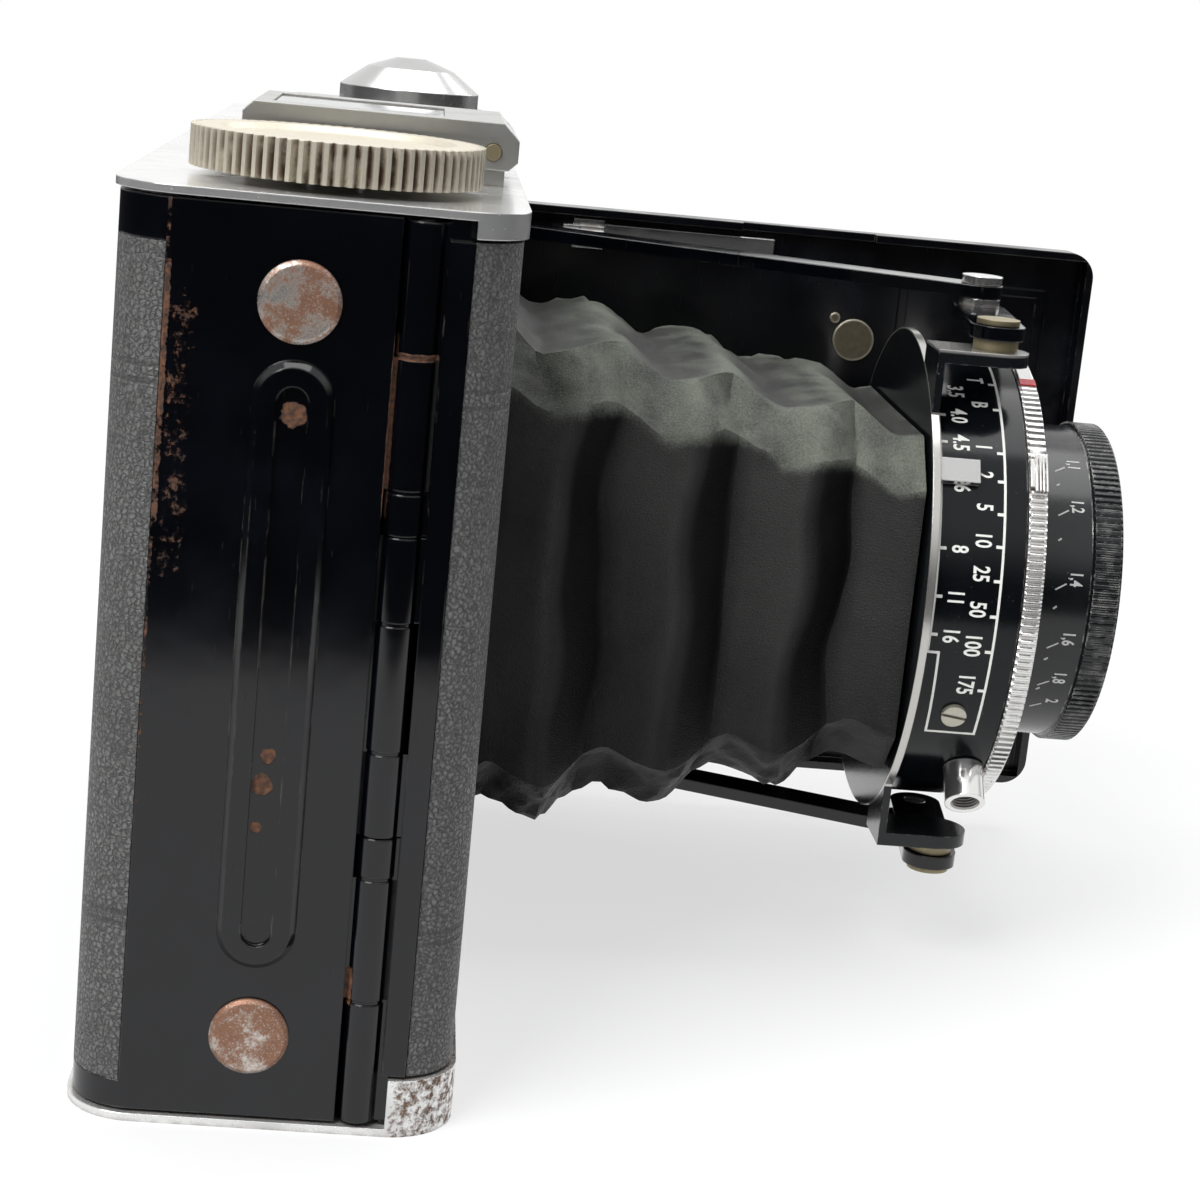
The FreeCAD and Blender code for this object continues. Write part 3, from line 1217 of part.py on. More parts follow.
def make_finder():
    left = -finder_left
    right = left + D.finder_width
    back, nose = D.finder_back, -D.finder_nose
    body = new_body("finder_frame")
    bottom, plate, top = finder_cheek_bottom, finder_plate_bottom, finder_top
    cut_back = D.finder_nose_cut
    side = polygon((nose, bottom + 0.8), (nose + 0.8, bottom), (back, bottom), (back, top - 0.9),
                   (back - 0.9, top), (nose + cut_back, top), (nose, top - cut_back))
    pad(body, sketch_on(body, "YZ_Plane", left, side), D.finder_width)
    hollow = polygon((nose - 1, bottom - 1), (back + 1, bottom - 1), (back + 1, plate),
                     (nose + cut_back + 0.3, plate), (nose + 1, plate - 1), (nose + 1, bottom + 0.8),
                     (nose - 1, bottom + 0.8))
    pocket(body, sketch_on(body, "YZ_Plane", left + D.finder_cheek, hollow),
           D.finder_width - D.finder_cheek * 2)
    middle = left + D.finder_width / 2
    half = D.finder_window_width / 2
    window = rectangle(middle - half, middle + half,
                       D.finder_window_back - D.finder_window_length, D.finder_window_back)
    pocket(body, sketch_on(body, "XY_Plane", plate - 1, window), top - plate + 2)
    # two slots in the nose leave room for the lugs when the frame stands up
    room = D.finder_lug + D.running_gap * 8
    for start in (left + D.finder_cheek, right - D.finder_cheek - room):
        gap = rectangle(nose - 1, nose + D.finder_nose_cut + 0.1, bottom - 1, plate + 0.1)
        pocket(body, sketch_on(body, "YZ_Plane", start, gap), room)
    bore = circle(-D.finder_pivot_y, finder_pivot_z, D.finder_pin + D.running_gap)
    pocket(body, sketch_on(body, "YZ_Plane", left - 1, bore), D.finder_width + 2)
    keep(body, "finder_frame")

    glass = block("FinderGlass", middle - half + D.fit_gap, middle + half - D.fit_gap,
                  D.finder_window_back - D.finder_window_length + D.fit_gap,
                  D.finder_window_back - D.fit_gap, plate + 0.1, top - 0.15)
    keep(glass, "finder_lens")

    sight = new_body("finder_sight")
    half_sight = D.sight_width / 2
    low = sight_pivot_z - D.sight_thickness / 2
    plan = rectangle(middle - half_sight, middle + half_sight,
                     D.sight_pivot_y - D.sight_length, D.sight_pivot_y + D.sight_thickness / 2)
    pad(sight, sketch_on(sight, "XY_Plane", low, plan), D.sight_thickness)
    peep = D.sight_pivot_y - D.sight_length * 0.55
    hole = rectangle(middle - D.sight_window * 0.7, middle + D.sight_window * 0.7,
                     peep - D.sight_window / 2, peep + D.sight_window / 2)
    pocket(sight, sketch_on(sight, "XY_Plane", low - 1, hole), D.sight_thickness + 2)
    # the pivot pin runs through a knuckle at the back of the sight
    knuckle = circle(D.sight_pivot_y, sight_pivot_z, D.sight_thickness * 0.8)
    pad(sight, sketch_on(sight, "YZ_Plane", middle - half_sight, knuckle), D.sight_width)
    bore = circle(D.sight_pivot_y, sight_pivot_z, D.sight_pin + D.running_gap)
    pocket(sight, sketch_on(sight, "YZ_Plane", middle - half_sight - 1, bore), D.sight_width + 2)
    keep(sight, "finder_sight")
    make_finder_base(left, right, middle)


def make_finder_base(left, right, middle):
    body = new_body("finder_base")
    top = finder_base_top
    inside = D.finder_cheek + D.running_gap * 2
    plan = rectangle(left + inside, right - inside, -D.finder_pivot_y + 1.4, D.finder_back - 0.5)
    pad(body, sketch_on(body, "XY_Plane", D.body_height, plan), top - D.body_height)
    lug = D.finder_lug
    for start in (left + inside, right - inside - lug):
        outline = polygon((-D.finder_pivot_y - 1.2, finder_pivot_z), (-D.finder_pivot_y - 1.2, D.body_height),
                          (-D.finder_pivot_y + 3, D.body_height), (-D.finder_pivot_y + 3, top),
                          (-D.finder_pivot_y + 1.2, finder_pivot_z + 1.2),
                          (-D.finder_pivot_y - 0.6, finder_pivot_z + 1.2))
        pad(body, sketch_on(body, "YZ_Plane", start, outline), lug)
    half_sight = D.sight_width / 2
    for start in (middle - half_sight - lug - D.running_gap * 2, middle + half_sight + D.running_gap * 2):
        outline = polygon((D.sight_pivot_y - 1.4, D.body_height), (D.sight_pivot_y + 1.2, D.body_height),
                          (D.sight_pivot_y + 1.0, sight_pivot_z + 0.9),
                          (D.sight_pivot_y - 1.0, sight_pivot_z + 0.9))
        pad(body, sketch_on(body, "YZ_Plane", start, outline), lug)
    main_bore = circle(-D.finder_pivot_y, finder_pivot_z, D.finder_pin)
    pocket(body, sketch_on(body, "YZ_Plane", left - 1, main_bore), D.finder_width + 2)
    sight_bore = circle(D.sight_pivot_y, sight_pivot_z, D.sight_pin)
    pocket(body, sketch_on(body, "YZ_Plane", left - 1, sight_bore), D.finder_width + 2)
    keep(body, "finder_base")
    head = 0.4
    pins = [rod("FinderPin", left - head, -D.finder_pivot_y, finder_pivot_z, D.finder_pin,
                D.finder_width + head * 2, Vector(1, 0, 0)),
            rod("SightPin", middle - half_sight - lug, D.sight_pivot_y, sight_pivot_z, D.sight_pin,
                D.sight_width + lug * 2, Vector(1, 0, 0))]
    keep(group("finder_pins", *pins), "finder_pins")


# ---------------------------------------------------------------- build, check, write

def check_and_write():
    doc.recompute()
    bad = [item.Label for item in doc.Objects if {"Invalid", "Error"} & set(item.State)]
    if bad:
        raise ValueError("failed objects: " + ", ".join(bad))
    os.makedirs("parts", exist_ok=True)
    for piece in pieces:
        shape = piece.Shape
        if shape.isNull() or not shape.isValid() or not shape.Solids:
            raise ValueError("bad shape: " + piece.Label)
        shape.exportStep(os.path.join("parts", piece.Label + ".step"))
        print("%-20s solids %d volume %9.2f" % (piece.Label, len(shape.Solids), shape.Volume))


def main():
    make_front_shell()
    make_hinge_pins()
    make_film_chamber()
    make_spool_pins()
    make_plates()
    make_front_leathers()
    make_back_door()
    make_door_trim()
    make_pressure_plate()
    make_window()
    make_latch()
    make_bed()
    make_bed_trim()
    make_brace()
    make_struts()
    make_lens_board()
    make_shutter()
    make_lenses()
    make_levers()
    make_bellows()
    make_wheel()
    make_winding()
    make_top_housing()
    make_finder()
    check_and_write()


main()
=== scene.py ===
import math

import bpy
from mathutils import Matrix, Vector, noise


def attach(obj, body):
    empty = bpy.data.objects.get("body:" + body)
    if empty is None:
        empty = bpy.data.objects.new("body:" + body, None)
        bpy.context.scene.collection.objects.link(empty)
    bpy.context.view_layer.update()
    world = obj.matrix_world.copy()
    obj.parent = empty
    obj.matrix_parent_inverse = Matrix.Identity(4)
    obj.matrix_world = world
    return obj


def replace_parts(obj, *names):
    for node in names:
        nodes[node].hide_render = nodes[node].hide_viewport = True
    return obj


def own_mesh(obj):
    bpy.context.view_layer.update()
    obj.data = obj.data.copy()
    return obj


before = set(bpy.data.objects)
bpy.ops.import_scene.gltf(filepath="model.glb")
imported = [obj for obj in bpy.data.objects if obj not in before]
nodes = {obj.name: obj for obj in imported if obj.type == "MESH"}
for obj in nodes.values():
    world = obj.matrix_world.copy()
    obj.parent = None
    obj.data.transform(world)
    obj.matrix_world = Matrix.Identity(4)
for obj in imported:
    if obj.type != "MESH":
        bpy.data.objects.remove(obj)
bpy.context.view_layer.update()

MM = 0.001
LENS_Z = 40.0
FRONT = 16.5          # front face of the body, in millimetres towards the subject


# ---------------------------------------------------------------- node helpers

class Graph:
    """Short calls for building a material's nodes."""

    def __init__(self, name):
        self.material = bpy.data.materials.new(name)
        self.material.use_nodes = True
        self.tree = self.material.node_tree
        self.tree.nodes.clear()
        self.out = self.tree.nodes.new("ShaderNodeOutputMaterial")
        self.bsdf = self.tree.nodes.new("ShaderNodeBsdfPrincipled")
        self.link(self.bsdf.outputs[0], self.out.inputs[0])
        self.place = self.tree.nodes.new("ShaderNodeTexCoord").outputs["Object"]

    def link(self, a, b):
        self.tree.links.new(a, b)

    def put(self, socket, value):
        if isinstance(value, bpy.types.NodeSocket):
            self.link(value, socket)
        elif isinstance(value, (tuple, list)) and socket.type == "RGBA":
            socket.default_value = tuple(value) + (1.0,) * (4 - len(value))
        else:
            socket.default_value = value

    def set(self, **values):
        for key, value in values.items():
            self.put(self.bsdf.inputs[key.replace("_", " ")], value)
        return self

    def math(self, operation, a, b=0.0, clamp=False):
        n = self.tree.nodes.new("ShaderNodeMath")
        n.operation = operation
        n.use_clamp = clamp
        self.put(n.inputs[0], a)
        self.put(n.inputs[1], b)
        return n.outputs[0]

    def span(self, value, low, high, to_low=0.0, to_high=1.0):
        n = self.tree.nodes.new("ShaderNodeMapRange")
        n.interpolation_type = "SMOOTHSTEP"
        self.put(n.inputs["Value"], value)
        n.inputs["From Min"].default_value = low
        n.inputs["From Max"].default_value = high
        n.inputs["To Min"].default_value = to_low
        n.inputs["To Max"].default_value = to_high
        return n.outputs["Result"]

    def scaled(self, factors):
        n = self.tree.nodes.new("ShaderNodeVectorMath")
        n.operation = "MULTIPLY"
        self.link(self.place, n.inputs[0])
        n.inputs[1].default_value = factors
        return n.outputs[0]

    def noise(self, cell, detail=3.0, rough=0.55, stretch=None, shift=0.0):
        """Noise whose features are about that many millimetres across."""
        n = self.tree.nodes.new("ShaderNodeTexNoise")
        n.noise_dimensions = "4D" if shift else "3D"
        self.link(self.scaled(stretch) if stretch else self.place, n.inputs["Vector"])
        n.inputs["Scale"].default_value = 1.0 / (cell * MM)
        n.inputs["Detail"].default_value = detail
        n.inputs["Roughness"].default_value = rough
        if shift:
            n.inputs["W"].default_value = shift
        return n.outputs["Fac"]

    def cells(self, cell, feature="F1"):
        """Distances inside cells that are about that many millimetres across."""
        n = self.tree.nodes.new("ShaderNodeTexVoronoi")
        n.feature = feature
        self.link(self.place, n.inputs["Vector"])
        n.inputs["Scale"].default_value = 1.0 / (cell * MM)
        return n.outputs["Distance"]

    def axis(self, name):
        n = self.tree.nodes.new("ShaderNodeSeparateXYZ")
        self.link(self.place, n.inputs[0])
        return n.outputs[name]

    def near(self, name, centre, reach, soft):
        """1 within reach of a coordinate, in millimetres, falling to 0 over soft."""
        off = self.math("ABSOLUTE", self.math("SUBTRACT", self.axis(name), centre * MM))
        return self.span(off, (reach + soft) * MM, reach * MM)

    def blob(self, x, y, z, reach, soft):
        """1 round a point, in millimetres."""
        n = self.tree.nodes.new("ShaderNodeVectorMath")
        n.operation = "DISTANCE"
        self.link(self.place, n.inputs[0])
        n.inputs[1].default_value = (x * MM, y * MM, z * MM)
        return self.span(n.outputs["Value"], (reach + soft) * MM, reach * MM)

    def from_lens_axis(self):
        """Distance from the lens axis, in metres."""
        high = self.math("SUBTRACT", self.axis("Z"), LENS_Z * MM)
        squares = [self.math("MULTIPLY", v, v) for v in (self.axis("X"), high)]
        return self.math("SQRT", self.math("ADD", *squares))

    def mix(self, factor, a, b):
        n = self.tree.nodes.new("ShaderNodeMix")
        n.data_type = "RGBA"
        self.put(n.inputs[0], factor)
        self.put(n.inputs[6], a)
        self.put(n.inputs[7], b)
        return n.outputs[2]

    def blend(self, factor, a, b):
        n = self.tree.nodes.new("ShaderNodeMix")
        n.data_type = "FLOAT"
        self.put(n.inputs[0], factor)
        self.put(n.inputs[2], a)
        self.put(n.inputs[3], b)
        return n.outputs[0]

    def bevel(self, radius):
        n = self.tree.nodes.new("ShaderNodeBevel")
        n.samples = 4
        n.inputs["Radius"].default_value = radius * MM
        return n.outputs[0]

    def edges(self, radius=0.5, low=0.985, high=0.86):
        """1 on the solid's corners and edges."""
        n = self.tree.nodes.new("ShaderNodeVectorMath")
        n.operation = "DOT_PRODUCT"
        self.link(self.bevel(radius), n.inputs[0])
        self.link(self.tree.nodes.new("ShaderNodeNewGeometry").outputs["Normal"], n.inputs[1])
        return self.span(n.outputs["Value"], low, high)

    def hollow(self, reach=1.0):
        """1 deep in a groove, by ambient occlusion."""
        n = self.tree.nodes.new("ShaderNodeAmbientOcclusion")
        n.samples = 6
        n.inputs["Distance"].default_value = reach * MM
        return self.span(n.outputs["AO"], 0.85, 0.35)

    def bump(self, height, depth, strength=1.0, normal=None):
        n = self.tree.nodes.new("ShaderNodeBump")
        n.inputs["Strength"].default_value = strength
        n.inputs["Distance"].default_value = depth * MM
        self.put(n.inputs["Height"], height)
        if normal is not None:
            self.link(normal, n.inputs["Normal"])
        return n.outputs[0]

    def attribute(self, name):
        n = self.tree.nodes.new("ShaderNodeAttribute")
        n.attribute_name = name
        return n.outputs["Fac"]


def mul(g, *values):
    result = values[0]
    for value in values[1:]:
        result = g.math("MULTIPLY", result, value)
    return result


def most(g, *values):
    result = values[0]
    for value in values[1:]:
        result = g.math("MAXIMUM", result, value)
    return result


# ---------------------------------------------------------------- materials

RUST = (0.15, 0.058, 0.022)
RUST_DARK = (0.030, 0.014, 0.009)
PRESSED_LINES = (17.6, 18.6, 64.0, 65.4)     # heights of the double lines in the leather
BOARD_RIM = 26.2                             # radius of the lens board's bare edge


def enamel(name, rust_zones=None, base=(0.0007, 0.0009, 0.0017), smooth=0.06):
    """Stoved gloss black: fine scratches, thin rubbed edges, rust where a zone says so."""
    g = Graph(name)
    broad = g.noise(9.0, 4, 0.6)
    scratch = g.span(g.noise(0.25, 2, 0.5, stretch=(1, 1, 0.08)), 0.68, 0.76)
    rubbed = mul(g, g.edges(0.18), g.span(g.noise(3.0, 4, 0.65, shift=2.0), 0.50, 0.66), 0.55)
    dusty = tuple(c * 3 for c in base)
    colour = g.mix(g.span(broad, 0.4, 0.8), base, dusty)
    colour = g.mix(rubbed, colour, (0.15, 0.14, 0.12))
    rough = g.blend(scratch, g.blend(g.span(broad, 0.3, 0.7), smooth, smooth * 2), 0.3)
    level = mul(g, g.noise(7.0, 2, 0.5, shift=5.0), 0.5)
    if rust_zones:
        ragged = mul(g, g.noise(1.0, 5, 0.72), 0.6)
        rust = g.span(g.math("ADD", mul(g, rust_zones(g), 0.62), ragged), 0.72, 0.82)
        red = g.mix(g.span(g.noise(0.45, 4, 0.7, shift=1.7), 0.35, 0.68), RUST_DARK, RUST)
        colour = g.mix(rust, colour, red)
        rough = g.blend(rust, rough, 0.75)
        level = g.math("SUBTRACT", level, mul(g, rust, 0.2))
    g.set(Base_Color=colour, Roughness=rough)
    g.set(Normal=g.bump(level, 0.10, 0.4, g.bevel(0.2)))
    return g.material


def end_panel_rust(g):
    """Rust along the leather's edge, at the hinge's joints and on the rib."""
    side = g.span(g.axis("X"), -0.0640, -0.0655)
    seam = mul(g, g.near("Y", 11.9, 0.2, 0.6), g.near("Z", 63, 9, 9), 0.82)
    thin_seam = mul(g, g.near("Y", 11.95, 0.1, 0.3), g.span(g.axis("Z"), 0.004, 0.03), 0.7)
    high = mul(g, g.near("Y", 10.4, 0.6, 2.6), g.near("Z", 60, 10, 8), 0.66)
    gap = mul(g, g.near("Y", -6.75, 0.1, 0.4), g.near("Z", 62, 6, 5), 0.95)
    joint = mul(g, g.near("Y", -8.4, 1.7, 0.6), g.near("Z", 67.9, 0.15, 0.5), 0.95)
    foot = mul(g, g.near("Y", -6.9, 0.2, 0.5), g.near("Z", 13.5, 1.2, 1.6), 0.9)
    spots = most(g, g.blob(-66.6, 1.1, 62.4, 0.7, 1.3), g.blob(-66.6, 1.6, 31.0, 0.6, 1.2),
                 g.blob(-66.6, 1.2, 33.6, 0.4, 1.0), g.blob(-66.6, 1.9, 27.2, 0.3, 0.9))
    return most(g, mul(g, most(g, seam, thin_seam, high, gap, joint, foot), side), mul(g, spots, 0.9))


def leather(name):
    """Pressed leather cloth: small grey pebbles, dark creases and pressed double lines."""
    g = Graph(name)
    crease = g.cells(0.50, "DISTANCE_TO_EDGE")
    grain = g.noise(0.24, 4, 0.7)
    broad = g.noise(14.0, 3, 0.6)
    lines = most(g, *[g.near("Z", z, 0.12, 0.25) for z in PRESSED_LINES])
    top = g.span(g.math("ADD", mul(g, crease, 0.7), grain), 0.42, 0.86)
    top = mul(g, top, g.math("SUBTRACT", 1.0, mul(g, lines, 0.6)))
    dusty = mul(g, top, g.span(broad, 0.2, 0.7, 0.55, 1.0))
    g.set(Base_Color=g.mix(dusty, (0.034, 0.034, 0.033), (0.150, 0.149, 0.145)))
    g.set(Roughness=g.blend(top, 0.6, 0.42))
    height = g.math("ADD", g.span(crease, 0.0, 0.22), mul(g, grain, 0.35))
    height = g.math("SUBTRACT", height, mul(g, lines, 1.6))
    g.set(Normal=g.bump(height, 0.09, 0.7, g.bevel(0.15)))
    return g.material


def chrome(name, pitted=0.5, tone=(0.80, 0.80, 0.79), rough=0.14, grime=0.6,
           rust_zone=None, metal=0.94):
    """Old chrome: bright, with pits, dull bloom and brown dirt in the corners."""
    g = Graph(name)
    broad = g.noise(7.0, 4, 0.6)
    pits = g.span(g.cells(0.55), 0.16, 0.06)
    pits = mul(g, pits, g.span(g.noise(3.5, 3, 0.6, shift=2.2), 0.60 - 0.16 * pitted, 0.68))
    dirt = mul(g, g.hollow(0.8), g.span(g.noise(1.2, 3, 0.6), 0.3, 0.6), grime)
    bloom = g.span(broad, 0.45, 0.75)
    stained = most(g, pits, dirt)
    if rust_zone:
        flakes = g.math("ADD", mul(g, rust_zone(g), 0.49), mul(g, g.noise(0.8, 5, 0.75), 0.6))
        stained = most(g, stained, g.span(flakes, 0.74, 0.86))
    colour = g.mix(bloom, tone, tuple(c * 0.82 for c in tone))
    brown = g.mix(g.noise(0.6, 3, 0.6, shift=4.4), (0.05, 0.034, 0.022), (0.20, 0.10, 0.05))
    g.set(Base_Color=g.mix(stained, colour, brown))
    g.set(Metallic=g.blend(stained, metal, 0.2))
    g.set(Roughness=g.blend(stained, g.blend(bloom, rough, rough + 0.13), 0.7))
    level = g.math("SUBTRACT", mul(g, g.noise(1.6, 3, 0.5), 0.12), mul(g, stained, 0.5))
    g.set(Normal=g.bump(level, 0.06, 0.6, g.bevel(0.16)))
    return g.material


def base_corner(g):
    """The base plate's skirt, where the chrome has gone in patches."""
    return mul(g, g.span(g.axis("Y"), -0.009, -0.012), g.span(g.axis("Z"), 0.007, 0.005))


def nickel(name, tone=(0.66, 0.61, 0.50), rough=0.42, dirty=1.0):
    """Dull nickel, yellowed, with dirt between the teeth."""
    g = Graph(name)
    fine = g.noise(0.45, 4, 0.7)
    dirt = mul(g, g.hollow(0.9), g.span(g.noise(2.4, 3, 0.6), 0.30, 0.55), dirty)
    colour = g.mix(fine, tone, tuple(c * 0.75 for c in tone))
    g.set(Base_Color=g.mix(dirt, colour, (0.10, 0.060, 0.034)))
    g.set(Metallic=g.blend(dirt, 0.62, 0.1))
    g.set(Roughness=g.blend(fine, rough - 0.08, rough + 0.14))
    g.set(Normal=g.bump(fine, 0.05, 0.5, g.bevel(0.12)))
    return g.material


def rusted_disc(name):
    """Bare rivet heads, silver where polished and copper-brown where rusted."""
    g = Graph(name)
    broad = g.noise(2.6, 3, 0.6, shift=7.3)
    fine = g.noise(0.3, 4, 0.8)
    rust = g.span(g.math("ADD", mul(g, broad, 0.7), mul(g, fine, 0.45)), 0.44, 0.60)
    pale = g.span(g.noise(0.16, 2, 0.6, shift=1.1), 0.56, 0.66)
    brown = g.mix(fine, (0.13, 0.060, 0.036), (0.36, 0.19, 0.12))
    brown = g.mix(mul(g, pale, 0.5), brown, (0.55, 0.50, 0.46))
    g.set(Base_Color=g.mix(rust, (0.60, 0.56, 0.52), brown))
    g.set(Metallic=g.blend(rust, 0.9, 0.6))
    g.set(Roughness=g.blend(rust, 0.25, 0.42))
    g.set(Normal=g.bump(fine, 0.06, 0.7, g.bevel(0.25)))
    return g.material


def plain_metal(name, tone, rough, metallic=1.0):
    g = Graph(name)
    fine = g.noise(0.6, 3, 0.6)
    dirt = mul(g, g.hollow(0.7), 0.7)
    g.set(Base_Color=g.mix(dirt, g.mix(fine, tone, tuple(c * 0.7 for c in tone)), (0.03, 0.022, 0.015)))
    g.set(Metallic=metallic, Roughness=g.blend(fine, rough - 0.06, rough + 0.14))
    g.set(Normal=g.bump(fine, 0.04, 0.5, g.bevel(0.12)))
    return g.material


def bed_brass(name):
    """Dark brass heads with a bright turned rim."""
    g = Graph(name)
    fine = g.noise(0.5, 4, 0.7)
    rim = g.edges(0.5, 0.99, 0.9)
    g.set(Base_Color=g.mix(rim, g.mix(fine, (0.09, 0.075, 0.05), (0.20, 0.17, 0.12)), (0.55, 0.52, 0.42)))
    g.set(Metallic=0.75, Roughness=g.blend(fine, 0.3, 0.5))
    g.set(Normal=g.bump(fine, 0.05, 0.5, g.bevel(0.3)))
    return g.material


def flat_black(name, tone=0.006, rough=0.5):
    g = Graph(name)
    fine = g.noise(0.4, 3, 0.6)
    edge = mul(g, g.edges(0.3), g.span(g.noise(2.0, 3, 0.6), 0.45, 0.7), 0.35)
    g.set(Base_Color=g.mix(edge, g.mix(fine, (tone,) * 3, (tone * 1.8,) * 3), (0.12, 0.11, 0.09)))
    g.set(Roughness=g.blend(fine, rough - 0.1, rough + 0.1))
    g.set(Normal=g.bump(fine, 0.04, 0.4, g.bevel(0.15)))
    return g.material


def lacquer(name, rough=0.16, tone=(0.0035, 0.0042, 0.005), rim=None, shine=0.5):
    """The shutter's black lacquer, speckled; a rim beyond a radius is bare chrome."""
    g = Graph(name)
    fine = g.noise(0.5, 4, 0.7)
    speck = mul(g, g.span(g.noise(0.22, 2, 0.5, shift=4.0), 0.70, 0.76), g.span(g.noise(4.0), 0.45, 0.6))
    rubbed = mul(g, g.edges(0.2), g.span(g.noise(1.5, 3, 0.6), 0.45, 0.65), 0.7)
    colour = g.mix(speck, g.mix(fine, tone, tuple(c * 2 for c in tone)), (0.13, 0.14, 0.12))
    bare = rubbed
    if rim:
        away = g.from_lens_axis()
        ring = mul(g, g.span(away, (rim - 0.2) * MM, (rim - 0.1) * MM),
                   g.span(away, (rim + 0.2) * MM, (rim + 0.1) * MM), 0.85)
        bare = most(g, mul(g, rubbed, 0.5), ring, g.span(g.axis("Z"), 0.066, 0.0665, 0.0, 0.9))
    g.set(Base_Color=g.mix(bare, colour, (0.62, 0.61, 0.58)))
    g.set(Metallic=mul(g, bare, 0.95))
    g.set(Roughness=g.blend(fine, rough - 0.05, rough + 0.10))
    g.set(Normal=g.bump(fine, 0.02, 0.3, g.bevel(0.14)), Specular_IOR_Level=shine)
    return g.material


def paint(name, colour, rough=0.5):
    g = Graph(name)
    fine = g.noise(0.3, 3, 0.7)
    g.set(Base_Color=g.mix(g.span(fine, 0.60, 0.78), colour, tuple(c * 0.4 for c in colour)))
    g.set(Roughness=g.blend(fine, rough - 0.1, rough + 0.15))
    return g.material


def glass(name, tint=(0.9, 0.95, 1.0), rough=0.02):
    g = Graph(name)
    smear = g.noise(5.0, 3, 0.6)
    g.set(Base_Color=tint, Roughness=g.blend(smear, rough, rough + 0.05))
    g.set(Transmission_Weight=1.0, IOR=1.5)
    return g.material


def bellows_cloth(name):
    """Thin leather over cloth: dusty flats, grey-green rubbed corners, and black painted shade on the
    fold faces turned from the light and in the valleys.
    """
    g = Graph(name)
    corner = g.attribute("corner")
    dust_and_fold_shade = g.attribute("dust_and_fold_shade")
    grain = g.cells(0.32, "DISTANCE_TO_EDGE")
    fine = g.noise(0.22, 4, 0.75)
    broad = g.noise(5.0, 4, 0.65)
    worn = g.math("ADD", mul(g, broad, 0.45), mul(g, fine, 0.35))
    scuff = g.span(g.math("ADD", mul(g, corner, 0.7), worn), 0.72, 1.15)
    streak = g.span(g.noise(0.5, 3, 0.5, stretch=(0.3, 0.12, 1), shift=1.3), 0.66, 0.76)
    flat = g.mix(fine, (0.042, 0.042, 0.040), (0.072, 0.072, 0.069))
    flat = g.mix(mul(g, streak, 0.5), flat, (0.012, 0.012, 0.012))
    # Painted shade: where this mask is low the colour goes near black, on the fold faces turned from the
    # light and in the valleys; on the flats the mask is partly dust.
    base = g.mix(mul(g, dust_and_fold_shade, g.span(broad, 0.1, 0.6, 0.65, 1.0)), (0.0006, 0.0007, 0.0012), flat)
    grey = g.mix(fine, (0.055, 0.061, 0.050), (0.225, 0.238, 0.200))
    g.set(Base_Color=g.mix(scuff, base, grey))
    g.set(Roughness=g.blend(scuff, g.blend(fine, 0.42, 0.56), 0.8))
    height = g.math("ADD", mul(g, g.span(grain, 0.0, 0.25), 0.25),
                    g.math("ADD", mul(g, fine, 0.5), mul(g, broad, 0.8)))
    g.set(Normal=g.bump(height, 0.24, 0.7), Specular_IOR_Level=0.20)
    return g.material


looks = {
    "enamel": enamel("enamel_black"),
    "panel": enamel("enamel_end_panel", end_panel_rust),
    "bed": enamel("enamel_bed", smooth=0.14),
    "leather": leather("leatherette_black"),
    "chrome": chrome("chrome_plates", 0.7, rough=0.2, rust_zone=base_corner, metal=0.80),
    "satin": chrome("chrome_satin", 0.4, tone=(0.54, 0.54, 0.535), rough=0.20, grime=0.9),
    "bright": chrome("chrome_trim", 0.25, rough=0.10, grime=0.8),
    "dull": chrome("chrome_dull", 0.6, tone=(0.47, 0.47, 0.455), rough=0.34),
    "wheel": nickel("nickel_wheel"),
    "nickel": nickel("nickel_small", (0.52, 0.50, 0.42), 0.3, 0.5),
    "discs": rusted_disc("rusted_discs"),
    "steel": plain_metal("steel_pins", (0.42, 0.41, 0.39), 0.32),
    "brass": bed_brass("brass_heads"),
    "gold": plain_metal("brass_spacers", (0.34, 0.29, 0.18), 0.4, 0.8),
    "inner": flat_black("inner_black"),
    # Near-black look for the hinge's shade strips: painted shade where a gap would be.
    "gap": flat_black("painted_gap_shade", 0.0004, 0.9),
    "spool": flat_black("spool_black", 0.03, 0.4),
    "case": lacquer("shutter_lacquer", 0.12, (0.0020, 0.0026, 0.0034), shine=0.28),
    "board": lacquer("board_lacquer", rim=BOARD_RIM, shine=0.4),
    "barrel": lacquer("barrel_lacquer", 0.18),
    "figures": paint("figure_paint", (0.74, 0.74, 0.70)),
    "faint": paint("figure_paint_faint", (0.50, 0.50, 0.48)),
    "red": paint("red_paint", (0.50, 0.012, 0.02), 0.35),
    "glass": glass("lens_glass"),
    "red_glass": glass("window_glass", (0.45, 0.01, 0.01), 0.08),
    "bellows": bellows_cloth("bellows_leather"),
}

